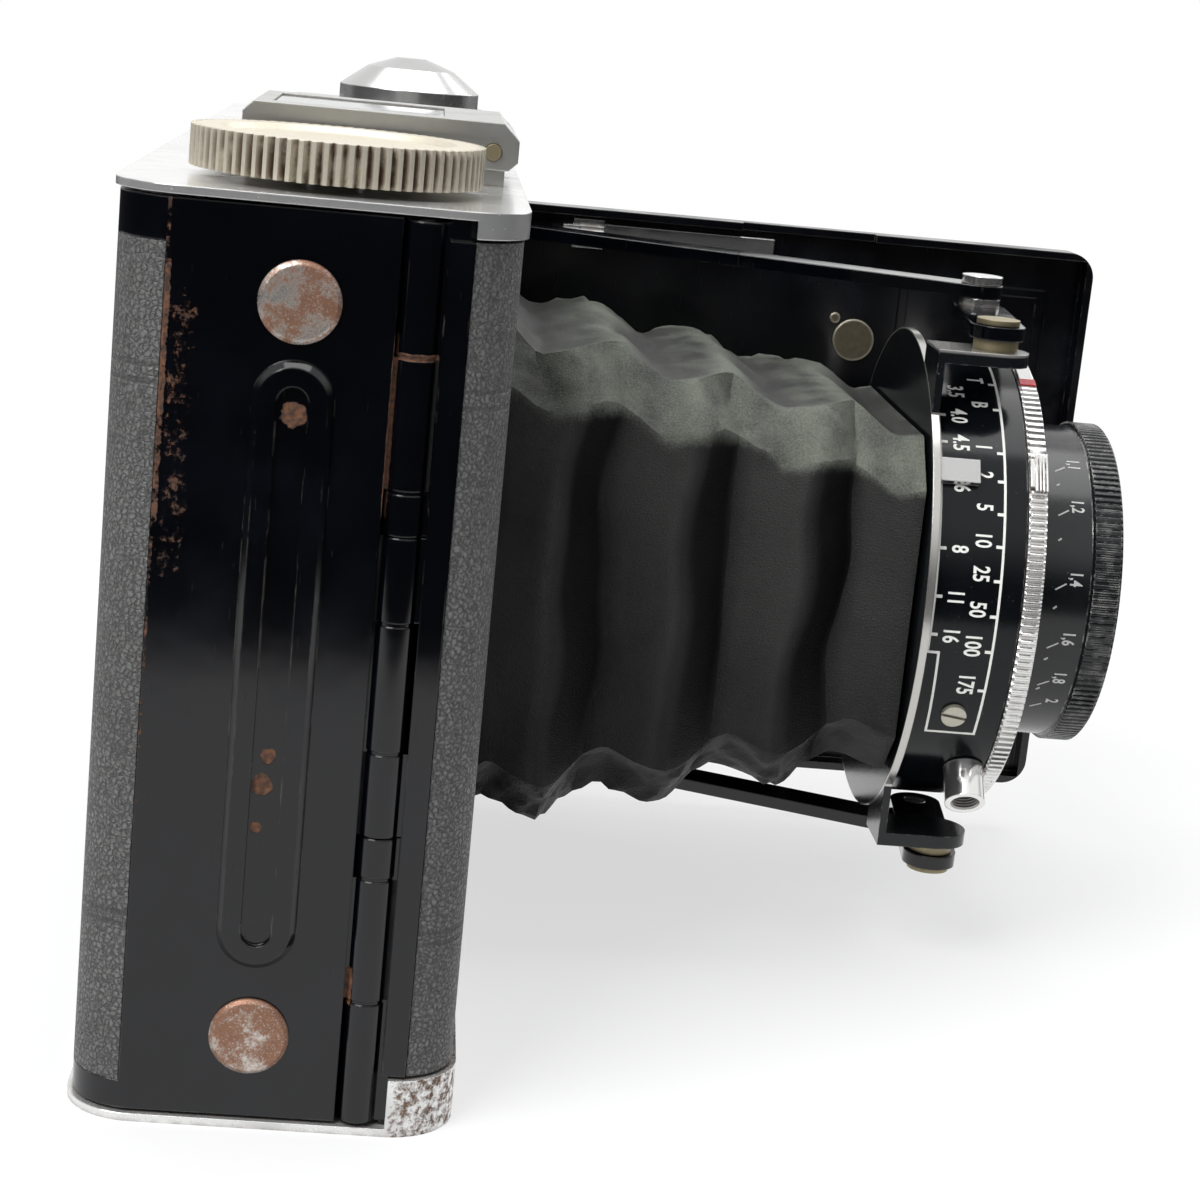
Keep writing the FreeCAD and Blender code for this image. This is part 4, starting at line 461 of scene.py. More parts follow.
CAD_LOOKS = {
    "front_shell": "panel", "back_door": "panel", "film_chamber": "inner", "film_gate": "inner",
    "spool_webs": "inner", "top_plate": "chrome", "bottom_plate": "chrome",
    "tripod_bush": "nickel", "door_hinge_pin": "steel", "bed_hinge_pin": "steel",
    "leather_front_near": "leather", "leather_front_far": "leather", "leather_back": "leather",
    "bed_leather": "leather", "spool_pins": "steel", "strut_pins": "steel",
    "top_housing": "satin", "finder_base": "dull", "finder_pins": "gold",
    "door_rivets": "discs", "pressure_plate": "inner", "pressure_springs": "steel",
    "red_window": "red_glass", "window_frame": "chrome", "window_cover": "chrome",
    "door_latch": "nickel", "bed_plate": "bed", "bed_rivets": "brass", "bed_brace": "bright",
    "struts": "enamel", "links": "enamel", "knee_rivets": "bright", "lens_board": "board",
    "ear_pins": "gold", "shutter_case": "case", "cable_socket": "bright", "case_screws": "nickel",
    "rear_cell": "inner", "rear_lens": "glass", "speed_ring": "bright", "aperture_pointer": "satin",
    "focus_ring": "barrel", "front_lens": "glass", "cocking_lever": "bright",
    "release_lever": "bright", "wind_wheel": "wheel", "wind_key": "steel",
    "take_up_spool": "spool", "counter_knob": "satin", "finder_frame": "dull",
    "finder_lens": "glass", "finder_sight": "dull",
}
for node_name, look in CAD_LOOKS.items():
    piece = nodes[node_name]
    if not piece.material_slots:
        piece.data.materials.append(looks[look])
    for part_slot in piece.material_slots:
        part_slot.material = looks[look]


# ---------------------------------------------------------------- mesh helpers

def mesh_piece(name, verts, faces, look, body, smooth=35.0):
    mesh = bpy.data.meshes.new(name)
    mesh.from_pydata(verts, [], faces)
    mesh.validate()
    mesh.update()
    mesh.shade_smooth()
    mesh.set_sharp_from_angle(angle=math.radians(smooth))
    piece = bpy.data.objects.new(name, mesh)
    bpy.context.scene.collection.objects.link(piece)
    mesh.materials.append(looks[look])
    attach(piece, body)
    return piece


def on_axis(radius, angle, distance):
    """A point round the lens axis: angle above the near side, distance in front of the body."""
    turn = math.radians(angle)
    return Vector((-radius * math.cos(turn), -(FRONT + distance),
                   LENS_Z + radius * math.sin(turn))) * MM


def lathe(name, profile, look, body, count=120, shape=None, smooth=35.0):
    """Turns a closed profile of (radius, distance) round the lens axis."""
    verts, faces = [], []
    size = len(profile)
    for i in range(count):
        angle = 360.0 * i / count
        for j, (radius, distance) in enumerate(profile):
            if shape:
                radius = shape(i, angle, j, radius)
            verts.append(on_axis(radius, angle, distance))
    for i in range(count):
        k = (i + 1) % count
        for j in range(size):
            m = (j + 1) % size
            faces.append((i * size + j, i * size + m, k * size + m, k * size + j))
    return mesh_piece(name, verts, faces, look, body, smooth)


def arc_block(name, radii, angles, distances, look, body, steps=4):
    """A block bounded by two radii, two angles and two distances."""
    verts, faces = [], []
    for s in range(steps + 1):
        angle = angles[0] + (angles[1] - angles[0]) * s / steps
        for radius, distance in ((radii[0], distances[0]), (radii[1], distances[0]),
                                 (radii[1], distances[1]), (radii[0], distances[1])):
            verts.append(on_axis(radius, angle, distance))
    for s in range(steps):
        for j in range(4):
            m = (j + 1) % 4
            faces.append((s * 4 + j, s * 4 + m, s * 4 + 4 + m, s * 4 + 4 + j))
    last = steps * 4
    faces.extend([(3, 2, 1, 0), (last, last + 1, last + 2, last + 3)])
    return mesh_piece(name, verts, faces, look, body)


def wrapped_text(name, words, radius, angle, distance, height, look, body, width=0.7, lift=0.03):
    """Figures laid round the lens axis: they read downwards, tops towards the subject."""
    curve = bpy.data.curves.new(name + "_curve", "FONT")
    curve.body = words
    curve.size = 1.0
    curve.align_x = "CENTER"
    curve.resolution_u = 3
    curve.offset = 0.020
    holder = bpy.data.objects.new(name + "_curve", curve)
    bpy.context.scene.collection.objects.link(holder)
    bpy.context.view_layer.update()
    flat = bpy.data.meshes.new_from_object(holder)
    bpy.data.objects.remove(holder)
    bpy.data.curves.remove(curve)
    scale = height / 0.7
    verts = []
    for level in (0.0, lift):
        for v in flat.vertices:
            along = v.co.x * scale * width
            up = (v.co.y - 0.35) * scale
            turn = angle - math.degrees(along / radius)
            verts.append(on_axis(radius + level, turn, distance + up))
    count = len(flat.vertices)
    faces = []
    edges = {}
    for polygon in flat.polygons:
        loop = list(polygon.vertices)
        faces.append([i + count for i in loop])
        faces.append(loop[::-1])
        for a, b in zip(loop, loop[1:] + loop[:1]):
            edges[(a, b)] = True
    for a, b in edges:
        if (b, a) not in edges:
            faces.append((a, b, b + count, a + count))
    bpy.data.meshes.remove(flat)
    return mesh_piece(name, verts, faces, look, body)


def band_line(name, points, width, radius, look, body, lift=0.03):
    """A painted line of (angle, distance) corners, laid on the cylinder in short steps."""
    verts, faces = [], []
    per_degree = math.pi / 180 * radius
    for (a0, d0), (a1, d1) in zip(points, points[1:]):
        along = math.hypot((a1 - a0) * per_degree, d1 - d0)
        steps = max(1, int(abs(a1 - a0) / 2.5))
        side_a = -(d1 - d0) / along * width / 2 / per_degree
        side_d = (a1 - a0) * per_degree / along * width / 2
        extra = width / 2 / along
        first = len(verts)
        for s in range(steps + 1):
            t = -extra + (1 + 2 * extra) * s / steps
            a = a0 + (a1 - a0) * t
            d = d0 + (d1 - d0) * t
            for sign in (-1, 1):
                for level in (-0.02, lift):
                    verts.append(on_axis(radius + level, a + sign * side_a, d + sign * side_d))
        for s in range(steps):
            b = first + s * 4
            n = b + 4
            faces.extend([(b, b + 1, n + 1, n), (b + 2, n + 2, n + 3, b + 3),
                          (b + 1, b + 3, n + 3, n + 1), (b, n, n + 2, b + 2)])
        last = first + steps * 4
        faces.extend([(first, first + 2, first + 3, first + 1), (last, last + 1, last + 3, last + 2)])
    return mesh_piece(name, verts, faces, look, body)


# ---------------------------------------------------------------- bellows

FOLD_PITCH = 12.3         # one fold along the lens axis
FIRST_VALLEY = -8.0       # towards the subject from the body's middle
TOP_SHIFT, BASE_SHIFT = 4.5, 2.0     # how far the top and bottom folds lie ahead of the sides'
RIDGE_SHARE = 0.6         # of a fold, from its valley to its ridge
SIDE_PLEAT = 3.8          # depth of the side folds
TOP_PLEAT = 3.6           # depth of the top and bottom folds at the film gate
BELLOWS_START, BELLOWS_END = -10.2, 60.6
BELLOWS_SKIN = 0.8
END_MARGIN = 0.3          # nearest a crease comes to either end
GATE_HALF_WIDTH, WIDTH_TAPER = 32.0, 10.0       # at the film gate, and the loss by the lens board
GATE_HALF_HEIGHT, HEIGHT_TAPER = 27.9, 11.35
PLEAT_TAPER = 0.35        # share of that depth lost by the lens board
CORNER_CUT, CORNER_DRAW = 5.6, 0.9              # cut in a valley, and how much less on a ridge
CREST_FROM, CREST_SPAN, CREST_DROP = 0.8, 0.2, 0.10
RISE_STEPS, FALL_STEPS = 9, 7                   # rings on the two faces of a fold
SIDE_STEPS, CORNER_STEPS = 22, 8                # points along a flat side and a corner
CREASE_NUDGE = 0.01       # so that a ring on a crease counts with the face ahead of it
HOLD_RATE = 9             # how fast the noise grows from the two glued ends
NOISE_SCALE = 0.12        # of the noise that creases the cloth, per millimetre
FLAT_SWAY, CORNER_SWAY = 0.35, 0.95             # slow waves, in millimetres
FLAT_CRUMPLE, CORNER_CRUMPLE = 0.07, 0.5        # fine creases, in millimetres


def fold_lift(distance):
    """0 in a valley and 1 on a ridge, with the crest a little rounded."""
    phase = ((distance - FIRST_VALLEY) / FOLD_PITCH) % 1.0
    rise = phase / RIDGE_SHARE if phase < RIDGE_SHARE else (1 - phase) / (1 - RIDGE_SHARE)
    return rise - CREST_DROP * max(0.0, (rise - CREST_FROM) / CREST_SPAN) ** 2, phase < RIDGE_SHARE


def bellows_rings():
    """Distances of the rings: close together, with one on every crease."""
    marks = []
    first = FIRST_VALLEY - FOLD_PITCH
    for fold in range(8):
        valley = first + fold * FOLD_PITCH
        ridge = valley + RIDGE_SHARE * FOLD_PITCH
        for low, high, steps in ((valley, ridge, RISE_STEPS), (ridge, valley + FOLD_PITCH, FALL_STEPS)):
            marks.extend(low + (high - low) * s / steps for s in range(steps))
    inside = [m for m in marks if BELLOWS_START + END_MARGIN < m < BELLOWS_END - END_MARGIN]
    return [BELLOWS_START] + inside + [BELLOWS_END]


def bellows_section(distance, skin):
    """Half width, heights above and below the lens axis, and corner cut of the section."""
    t = (distance - BELLOWS_START) / (BELLOWS_END - BELLOWS_START)
    lift, _ = fold_lift(distance)
    width = GATE_HALF_WIDTH - WIDTH_TAPER * t - SIDE_PLEAT * (1 - lift) - skin
    heights = []
    for shift in (TOP_SHIFT, BASE_SHIFT):
        crest, _ = fold_lift(distance - shift)
        pleat = TOP_PLEAT * (1 - PLEAT_TAPER * t) * crest
        heights.append(GATE_HALF_HEIGHT - HEIGHT_TAPER * t + pleat - skin)
    return width, heights, CORNER_CUT - CORNER_DRAW * lift, lift, t


def bellows_mesh():
    """Deep folds that taper from the film gate to the lens board."""
    shares = [SIDE_STEPS, CORNER_STEPS] * 4
    rings = bellows_rings()
    across = sum(shares)
    store = {0.0: [], BELLOWS_SKIN: []}
    corner_wear, dust_and_fold_shade = [], []
    for skin, points in store.items():
        for distance in rings:
            half_w, (above, below), corner, lift, t = bellows_section(distance, skin)
            crest, _ = fold_lift(distance - TOP_SHIFT)
            _, facing = fold_lift(distance + CREASE_NUDGE)
            octagon = [(-half_w, -below + corner), (-half_w, above - corner),
                       (-half_w + corner, above), (half_w - corner, above),
                       (half_w, above - corner), (half_w, -below + corner),
                       (half_w - corner, -below), (-half_w + corner, -below)]
            hold = min(1.0, HOLD_RATE * t, HOLD_RATE * (1 - t))
            for side in range(8):
                a, b = octagon[side], octagon[(side + 1) % 8]
                flat = side % 2 == 0
                for s in range(shares[side]):
                    f = s / shares[side]
                    x = a[0] + (b[0] - a[0]) * f
                    z = a[1] + (b[1] - a[1]) * f
                    bow = math.sin(math.pi * f) if flat else 0.0
                    reach = math.hypot(x, z)
                    spot = Vector((x * NOISE_SCALE, z * NOISE_SCALE, distance * NOISE_SCALE))
                    sway = FLAT_SWAY if flat else CORNER_SWAY
                    crease = FLAT_CRUMPLE if flat else CORNER_CRUMPLE
                    wobble = noise.fractal(spot, 0.8, 2.1, 2) * sway
                    crumple = noise.fractal(spot * 5.0, 0.9, 2.0, 3) * crease
                    bulge = 0.0 if flat else math.sin(math.pi * f) * (0.9 * lift - 0.6)
                    push = (wobble + crumple + bulge) * hold - bow * 0.5 * (1 - lift)
                    scale = 1 + push / reach
                    shift = noise.noise(spot * 0.9 + Vector((9, 0, 0))) * 1.3 * hold
                    points.append(Vector((x * scale, -(distance + shift), LENS_Z + z * scale)) * MM)
                    if skin:
                        continue
                    edge = 1.0 if not flat else max(0.0, 1 - min(f, 1 - f) * 12)
                    if side == 2:
                        edge = max(edge, 0.45 + 0.55 * crest)
                    low = 0.35 if z < 0 else 1.0
                    corner_wear.append(edge * low * (0.55 + 0.45 * max(lift, crest)))
                    # Paler towards the top and towards the body, darker towards the bottom and the lens
                    # board.
                    paler_high_and_rear = (1 - 0.55 * t) * (0.45 + 0.55 * min(1.0, max(0.0, z / below + 1.1)))
                    # Painted light and shade of the folds: full on the faces towards the light, less near
                    # their valleys, and near nothing on the faces turned away except by their ridges.
                    film = 0.5 + 0.5 * min(1.0, lift * 5) if facing else max(0.0, (lift - 0.75) * 3)
                    dust_and_fold_shade.append(film * paler_high_and_rear)
    outer, inner = store.values()
    base = len(outer)
    faces = []
    for j in range(len(rings) - 1):
        for i in range(across):
            k = (i + 1) % across
            quad = [j * across + i, j * across + k, (j + 1) * across + k, (j + 1) * across + i]
            faces.append(quad)
            faces.append([base + v for v in reversed(quad)])
    last = (len(rings) - 1) * across
    for i in range(across):
        k = (i + 1) % across
        faces.append((i, base + i, base + k, k))
        faces.append((last + i, last + k, base + last + k, base + last + i))
    piece = mesh_piece("bellows_folds", outer + inner, faces, "bellows", "body", 40)
    for name, values in (("corner", corner_wear), ("dust_and_fold_shade", dust_and_fold_shade)):
        layer = piece.data.attributes.new(name, "FLOAT", "POINT")
        layer.data.foreach_set("value", values + [0.0] * len(inner))
    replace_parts(piece, "bellows")
    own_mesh(piece)


bellows_mesh()


# ---------------------------------------------------------------- door hinge

HINGE_X, HINGE_Y = -65.3, -8.45
HINGE_SPAN = (1.0, 79.0)
HINGE_SEGMENTS = 7
DOOR_SPAN = (27.0, 53.0)      # where the solid knuckle belongs to the door
PANEL_FACE = -65.9
ROLL_BORE, ROLL_EDGE, ROLL_RADIUS = 1.55, 1.66, 1.72
ROLL_CHAMFER = 0.08
ROLL_HALF_TURN = 104.0        # degrees of the roll on each side of its middle
SEGMENT_GAP, BODY_GAP = 0.12, 0.05     # from a joint, and from a change of body
LEFT_LEAF, RIGHT_LEAF = (-7.25, -6.35), (-10.6, -9.65)
# Spans of the black strips of painted shade, where the gap beside a leaf would be.
LEFT_GAP_SHADE, RIGHT_GAP_SHADE = (-7.02, -6.62), (-10.32, -9.93)
LEAF_PROUD, LEAF_SUNK = 0.1, 0.2
SHADE_PROUD, SHADE_SUNK = 0.04, 0.05


def slab(name, lows, highs, look, body, cut=0.03):
    """A thin plate with bevelled edges, between two corners in millimetres."""
    verts, faces = [], []
    for x, inset in ((highs[0], 0.0), (lows[0] + cut, 0.0), (lows[0], cut)):
        for y, z in ((lows[1] + inset, lows[2] + inset), (highs[1] - inset, lows[2] + inset),
                     (highs[1] - inset, highs[2] - inset), (lows[1] + inset, highs[2] - inset)):
            verts.append(Vector((x, y, z)) * MM)
    for level in (0, 4):
        for i in range(4):
            k = (i + 1) % 4
            faces.append((level + i, level + k, level + 4 + k, level + 4 + i))
    faces.extend([(3, 2, 1, 0), (8, 9, 10, 11)])
    return mesh_piece(name, verts, faces, look, body)


def sleeve(name, low, high, body):
    """The rolled outside of one hinge segment, round the pin on the open side."""
    verts, faces = [], []
    steps = 28
    section = ((ROLL_BORE, low), (ROLL_EDGE, low), (ROLL_RADIUS, low + ROLL_CHAMFER),
               (ROLL_RADIUS, high - ROLL_CHAMFER), (ROLL_EDGE, high), (ROLL_BORE, high))
    size = len(section)
    for s in range(steps + 1):
        turn = math.radians(180 - ROLL_HALF_TURN + 2 * ROLL_HALF_TURN * s / steps)
        for radius, z in section:
            x = HINGE_X + radius * math.cos(turn)
            y = HINGE_Y + radius * math.sin(turn)
            verts.append(Vector((x, y, z)) * MM)
    for s in range(steps):
        for j in range(size):
            m = (j + 1) % size
            faces.append((s * size + j, s * size + m, (s + 1) * size + m, (s + 1) * size + j))
    last = steps * size
    faces.extend([tuple(range(size)), tuple(last + j for j in reversed(range(size)))])
    return mesh_piece(name, verts, faces, "panel", body, 25)


def dress_hinge():
    """Seven segments drawn over the three solid knuckles.

    By turns they belong to the door, leafed on the left, and to the shell, leafed on the
    right. Each roll rides with the solid knuckle under it, also where that knuckle is the
    other plate's, and there the side strips show the plate that the segment belongs to.
    The black side strips are painted shade, laid where the gap beside a leaf would be.
    """
    low_end, high_end = HINGE_SPAN
    pitch = (high_end - low_end) / HINGE_SEGMENTS
    edges = [low_end + pitch * k for k in range(HINGE_SEGMENTS + 1)]
    for k, (low, high) in enumerate(zip(edges, edges[1:])):
        to_door = k % 2 == 1
        cuts = [low] + [z for z in DOOR_SPAN if low < z < high] + [high]
        for part, (start, end) in enumerate(zip(cuts, cuts[1:])):
            on_door = DOOR_SPAN[0] <= (start + end) / 2 <= DOOR_SPAN[1]
            name = "hinge_%d_%d" % (k + 1, part + 1)
            first = start + (SEGMENT_GAP if start == low else BODY_GAP)
            final = end - (SEGMENT_GAP if end == high else BODY_GAP)
            sleeve(name + "_roll", first, final, "door" if on_door else "body")
            if to_door and not on_door:
                slab(name + "_leaf", (PANEL_FACE - LEAF_PROUD, LEFT_LEAF[0], first),
                     (PANEL_FACE + LEAF_SUNK, LEFT_LEAF[1], final), "panel", "door")
                # A black strip of painted shade, where the gap beside the shell's leaf would be.
                slab(name + "_shade", (PANEL_FACE - SHADE_PROUD, RIGHT_GAP_SHADE[0], first),
                     (PANEL_FACE + SHADE_SUNK, RIGHT_GAP_SHADE[1], final), "gap", "body", 0.01)
            if not to_door and on_door:
                slab(name + "_leaf", (PANEL_FACE - LEAF_PROUD, RIGHT_LEAF[0], first),
                     (PANEL_FACE + LEAF_SUNK, RIGHT_LEAF[1], final), "panel", "body")
                # A black strip of painted shade, where the gap beside the door's leaf would be.
                slab(name + "_shade", (PANEL_FACE - SHADE_PROUD, LEFT_GAP_SHADE[0], first),
                     (PANEL_FACE + SHADE_SUNK, LEFT_GAP_SHADE[1], final), "gap", "door", 0.01)


dress_hinge()


# ---------------------------------------------------------------- shutter

CASE_RADIUS = 24.3
RING_RADIUS = 24.73
BARREL_RADIUS = 17.0
SPEEDS = (("T", 67.7), ("B", 57.6), ("1", 43.9), ("2", 36.2), ("5", 27.9), ("10", 20.0),
          ("25", 11.8), ("50", 3.3), ("100", -5.5), ("175", -15.9))
STOPS = (("3.5", 62.0), ("4.0", 53.0), ("4.5", 44.6), ("5.6", 33.6), ("8", 17.3), ("11", 5.8),
         ("16", -3.5))
METRES = (("1,1", 58.1), ("1,2", 39.3), ("1,4", 12.7), ("1,6", -8.8), ("1,8", -25.0), ("2", -36.9))
REAR_LINE, FRONT_LINE = 45.75, 52.35
STEP_LINE = 46.9
SPEED_ROW, STOP_ROW, METRE_ROW = 50.3, 47.95, 62.0
FIGURE_HEIGHT, METRE_HEIGHT = 1.65, 1.3
RING_BORE, RING_EDGE = 19.0, 24.45
RING_REAR, RING_FRONT = 54.8, 56.7
MILL_REAR, MILL_FRONT = 55.0, 56.5
RED_MARK = (66.0, 68.6)       # degrees above the near side
BARREL_REAR, BARREL_FRONT = 58.0, 66.7
KNURL_RADIUS = 17.5
LENS_RADIUS, LENS_SEAT = 9.5, 63.1


def scale_band():
    """White figures, their ticks and the outline round them, on the side of the case."""
    outline = [(81, REAR_LINE), (-8, REAR_LINE), (-8, STEP_LINE), (-31, 47.3), (-31, FRONT_LINE),
               (81, FRONT_LINE), (81, REAR_LINE)]
    band_line("scale_outline", outline, 0.26, CASE_RADIUS, "figures", "standard")
    for words, angle in SPEEDS:
        wrapped_text("speed_" + words, words, CASE_RADIUS, angle, SPEED_ROW, FIGURE_HEIGHT,
                     "figures", "standard")
        band_line("speed_tick_" + words, [(angle - 1.5, 51.75), (angle - 1.5, 52.3)], 0.32,
                  CASE_RADIUS, "figures", "standard")
    for words, angle in STOPS:
        name = words.replace(".", "_")
        wrapped_text("stop_" + name, words, CASE_RADIUS, angle, STOP_ROW, FIGURE_HEIGHT,
                     "figures", "standard")
        band_line("stop_tick_" + name, [(angle, 45.8), (angle, 46.35)], 0.32,
                  CASE_RADIUS, "figures", "standard")


def focus_figures():
    """Distances on the barrel, with small slanted ticks and dots between."""
    for words, angle in METRES:
        name = words.replace(",", "_")
        wrapped_text("metres_" + name, words, BARREL_RADIUS, angle, METRE_ROW, METRE_HEIGHT,
                     "faint", "focus")
        band_line("metre_tick_" + name, [(angle - 4, 59.9), (angle - 2, 60.9)], 0.16,
                  BARREL_RADIUS, "faint", "focus")
    for angle in (47.5, 26.0, 2.0, -17.5, -31.0):
        band_line("metre_dot_%d" % int(angle + 90), [(angle, 59.9), (angle + 0.5, 60.1)], 0.2,
                  BARREL_RADIUS, "faint", "focus")


def speed_ring():
    """The milled ring that sets the speed, with its ribbed grip and red mark."""
    teeth, depth = 190, 0.3
    smooth_from = RED_MARK[0]
    per_tooth = 4

    def milled(i, angle, j, radius):
        plain = smooth_from < angle < 180
        return radius - depth if j in (2, 3) and not plain and i % per_tooth >= 2 else radius

    profile = [(RING_BORE, RING_REAR), (RING_EDGE, RING_REAR), (RING_RADIUS, MILL_REAR),
               (RING_RADIUS, MILL_FRONT), (RING_EDGE, RING_FRONT), (RING_BORE, RING_FRONT)]
    ring = lathe("speed_ring_milled", profile, "bright", "speeds", teeth * per_tooth, milled)
    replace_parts(ring, "speed_ring")
    arc_block("speed_grip_root", (24.4, 25.1), (33.4, 40.6), (54.82, 55.3), "bright", "speeds")
    for rib in range(4):
        start = 55.3 + rib * 0.35
        arc_block("speed_grip_rib_%d" % rib, (24.4, 25.4), (32.2, 41.8), (start, start + 0.2),
                  "bright", "speeds")
    arc_block("speed_grip_core", (24.4, 25.15), (32.5, 41.5), (55.25, 56.6), "bright", "speeds")
    arc_block("speed_red_mark", (24.6, RING_RADIUS + 0.06), RED_MARK, (54.9, 56.6), "red", "speeds")


def focus_barrel():
    """The front lens's barrel, with a finely ribbed black rim."""
    rings = 3
    profile = [(LENS_RADIUS, BARREL_REAR), (BARREL_RADIUS, BARREL_REAR), (BARREL_RADIUS, 63.5),
               (17.1, 63.6), (KNURL_RADIUS, 63.75), (KNURL_RADIUS, 66.45),
               (17.2, BARREL_FRONT), (13.9, BARREL_FRONT), (LENS_RADIUS, LENS_SEAT)]

    def ribbed(i, angle, j, radius):
        return radius - 0.22 if j in (4, 5) and i % rings == 0 else radius

    barrel = lathe("focus_ring_ribbed", profile, "barrel", "focus", 150 * rings, ribbed)
    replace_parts(barrel, "focus_ring")
    seat, edge = LENS_SEAT, 9.45
    dome = [(edge, seat - 1.8), (edge, seat)]
    dome += [(edge * math.cos(math.radians(a)), seat + 1.6 * math.sin(math.radians(a)))
             for a in range(15, 90, 15)]
    dome += [(0.02, seat + 1.6), (0.02, seat - 1.8)]
    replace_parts(lathe("front_lens_dome", dome, "glass", "focus", 72, smooth=50), "front_lens")


def cross_axes(angle):
    """Outward, circumferential and forward directions at an angle round the case."""
    outward = (on_axis(1, angle, 0) - on_axis(0, angle, 0)).normalized()
    forward = Vector((0, -1, 0))
    return outward, forward.cross(outward), forward


def slotted_screw(name, angle, radius, slot_turn):
    """A flat head on the case, sawn across: two halves on a thin disc."""
    outward, along, forward = cross_axes(angle)
    centre = on_axis(CASE_RADIUS - 0.15, angle, 49.7)
    slot_half = radius * 0.13
    cut = math.asin(slot_half / radius)
    turn = math.radians(slot_turn)
    verts, faces = [], []

    def add_loop(outline, low, high):
        first, count = len(verts), len(outline)
        for level in (low, high):
            for u, v in outline:
                p = u * math.cos(turn) - v * math.sin(turn)
                q = u * math.sin(turn) + v * math.cos(turn)
                verts.append(centre + (along * p + forward * q + outward * level) * MM)
        faces.append([first + count + i for i in range(count)])
        faces.append([first + i for i in reversed(range(count))])
        for i in range(count):
            k = (i + 1) % count
            faces.append((first + i, first + k, first + count + k, first + count + i))

    steps = 20
    disc = [(radius * math.cos(2 * math.pi * i / 40), radius * math.sin(2 * math.pi * i / 40))
            for i in range(40)]
    add_loop(disc, 0.0, 0.32)
    for start in (cut, math.pi + cut):
        half = [(radius * math.cos(start + (math.pi - 2 * cut) * i / steps),
                 radius * math.sin(start + (math.pi - 2 * cut) * i / steps))
                for i in range(steps + 1)]
        add_loop(half, 0.32, 0.6)
    return mesh_piece(name, verts, faces, "nickel", "standard")


def cable_socket_thread():
    """Fine turned threads inside the mouth of the release socket."""
    angle, distance = -45.0, 52.55
    outward, along, forward = cross_axes(angle)
    verts, faces = [], []
    count, turns = 28, 7
    for t in range(turns * 2 + 1):
        level = 4.25 - t * 0.16
        radius = 1.49 if t % 2 == 0 else 1.30
        for i in range(count):
            a = 2 * math.pi * i / count
            offset = along * math.cos(a) * radius + forward * math.sin(a) * radius
            verts.append(on_axis(CASE_RADIUS, angle, distance) + (outward * level + offset) * MM)
    for t in range(turns * 2):
        for i in range(count):
            k = (i + 1) % count
            faces.append((t * count + i, (t + 1) * count + i, (t + 1) * count + k, t * count + k))
    return mesh_piece("socket_thread", verts, faces, "steel", "standard")


scale_band()
focus_figures()
speed_ring()
focus_barrel()
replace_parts(slotted_screw("band_screw_low", -25.0, 1.3, 80), "case_screws")
slotted_screw("band_screw_high", 83.0, 1.0, 20)
cable_socket_thread()


# ---------------------------------------------------------------- camera, light and floor

def aim(location, forward, up):
    z = -Vector(forward).normalized()
    x = Vector(up).cross(z).normalized()
    turn = Matrix((x, z.cross(x), z)).transposed().to_4x4()
    turn.translation = Vector(location)
    return turn


CAMERA_AT = (-0.27536, -0.00793, 0.09758)
CAMERA_AHEAD = (0.9711, -0.0802, -0.2255)
CAMERA_UP = (0.2317, 0.0797, 0.9696)
CAMERA_LENS = 77.78           # millimetres, on a sensor 36 mm wide

camera_data = bpy.data.cameras.new("photo_camera")
camera_data.sensor_width = 36.0
camera_data.lens = CAMERA_LENS
camera_data.clip_start = 0.01
camera_data.clip_end = 20.0
camera = bpy.data.objects.new("photo_camera", camera_data)
bpy.context.scene.collection.objects.link(camera)
camera.matrix_world = aim(CAMERA_AT, CAMERA_AHEAD, CAMERA_UP)
bpy.context.scene.camera = camera


def softbox(name, location, target, size, power):
    data = bpy.data.lights.new(name, "AREA")
    data.shape = "RECTANGLE"
    data.size, data.size_y = size
    data.energy = power
    lamp = bpy.data.objects.new(name, data)
    bpy.context.scene.collection.objects.link(lamp)
    direction = (Vector(target) - Vector(location)).normalized()
    lamp.matrix_world = aim(location, direction, (0, 0.01, 1))


softbox("key_light", (-0.50, 0.40, 0.70), (0, -0.02, 0.04), (0.45, 0.45), 7.5)
softbox("top_light", (0.10, 0.0, 0.95), (0, -0.02, 0.04), (0.8, 0.8), 6.0)
softbox("rim_light", (0.55, -0.55, 0.55), (0, -0.03, 0.04), (0.4, 0.4), 2.0)


class Light(Graph):
    """The same short calls for the world's and the floor's nodes."""

    def __init__(self, tree, output):
        self.tree = tree
        tree.nodes.clear()
        self.out = tree.nodes.new(output)
        self.place = tree.nodes.new("ShaderNodeTexCoord").outputs["Generated" if "World" in output
                                                                  else "Object"]
        self.path = tree.nodes.new("ShaderNodeLightPath")

    def shader(self, kind, colour, strength=None):
        n = self.tree.nodes.new(kind)
        self.put(n.inputs[0], colour)
        if strength is not None:
            self.put(n.inputs[1], strength)
        return n.outputs[0]

    def either(self, factor, a, b):
        n = self.tree.nodes.new("ShaderNodeMixShader")
        self.put(n.inputs[0], factor)
        self.link(a, n.inputs[1])
        self.link(b, n.inputs[2])
        return n.outputs[0]


WHITE = (1.0, 1.0, 1.0)
SOFT_LIGHT = 0.36         # strength of the world as a light
ROOM = 0.03               # strength of the far room and floor, to glossy rays only
TABLE_TONE = 0.82
TABLE_EDGE = (0.206, 0.240)   # metres from the middle, where the floor darkens to glossy rays
WHITE_FROM = (0.10, 0.34)     # metres from the middle, where the seen floor turns plain white


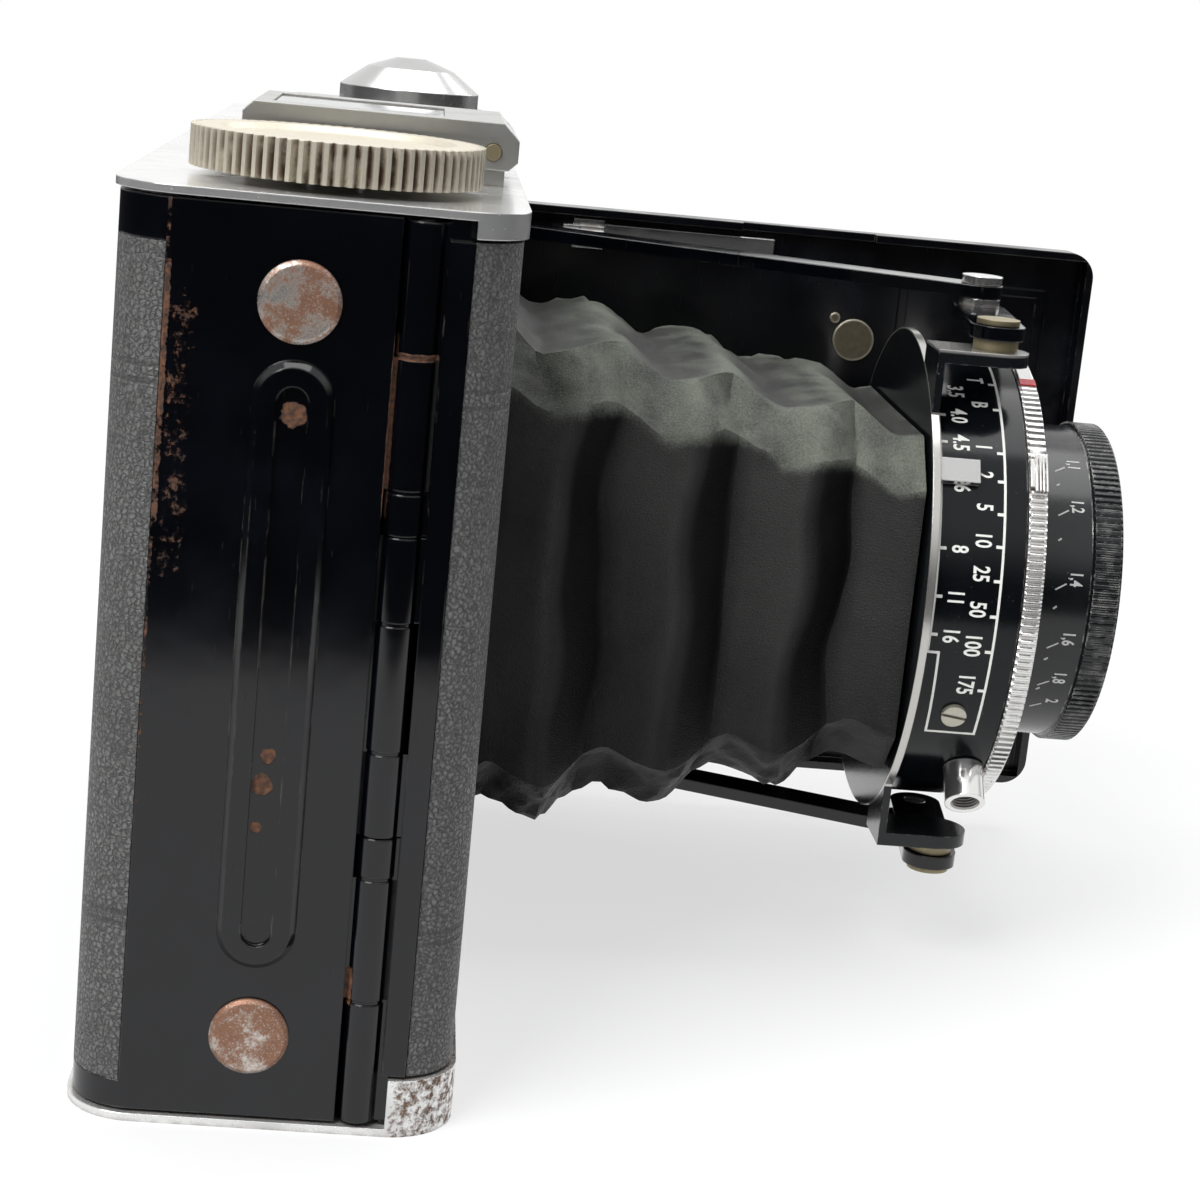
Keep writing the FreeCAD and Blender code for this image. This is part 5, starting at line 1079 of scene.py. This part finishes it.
def light_world():
    """White to the eye and through glass; soft light on the object; to glossy rays not
    white but a dim room, with a bright ceiling and a bright far side."""
    world = bpy.data.worlds.new("studio")
    bpy.context.scene.world = world
    world.use_nodes = True
    g = Light(world.node_tree, "ShaderNodeOutputWorld")
    soft = g.shader("ShaderNodeBackground", (0.93, 0.95, 1.0), SOFT_LIGHT)
    seen = g.shader("ShaderNodeBackground", WHITE, 1.0)
    bright = g.math("MAXIMUM", g.span(g.axis("Z"), 0.10, 0.6, ROOM, 1.0),
                    g.span(g.axis("X"), 0.15, 0.5, ROOM, 1.0))
    mirrored = g.shader("ShaderNodeBackground", WHITE, bright)
    direct = g.math("MAXIMUM", g.path.outputs["Is Camera Ray"], g.path.outputs["Is Transmission Ray"])
    shown = g.either(g.path.outputs["Is Glossy Ray"], soft, mirrored)
    g.link(g.either(direct, shown, seen), g.out.inputs[0])


def lay_floor():
    """A pale table: white to the eye, with the object's soft shadow; dim far off to glossy rays."""
    mesh = bpy.data.meshes.new("floor")
    mesh.from_pydata([(-4, -4, 0), (4, -4, 0), (4, 4, 0), (-4, 4, 0)], [], [(0, 1, 2, 3)])
    floor = bpy.data.objects.new("floor", mesh)
    bpy.context.scene.collection.objects.link(floor)
    look = bpy.data.materials.new("floor_white")
    look.use_nodes = True
    g = Light(look.node_tree, "ShaderNodeOutputMaterial")
    squares = [g.math("MULTIPLY", g.axis(a), g.axis(a)) for a in "XY"]
    away = g.math("SQRT", g.math("ADD", *squares))
    lit = g.shader("ShaderNodeBsdfDiffuse", (TABLE_TONE, TABLE_TONE, TABLE_TONE))
    glow = g.shader("ShaderNodeEmission", WHITE, 1.0)
    share = g.span(away, *WHITE_FROM, 0.66, 1.0)
    seen = g.either(share, lit, glow)
    dim = g.shader("ShaderNodeEmission", WHITE, g.span(away, *TABLE_EDGE, 1.0, ROOM))
    direct = g.math("MAXIMUM", g.path.outputs["Is Camera Ray"], g.path.outputs["Is Transmission Ray"])
    shown = g.either(g.path.outputs["Is Glossy Ray"], lit, dim)
    g.link(g.either(direct, shown, seen), g.out.inputs[0])
    mesh.materials.append(look)


light_world()
lay_floor()
bpy.context.scene.view_settings.view_transform = "Standard"
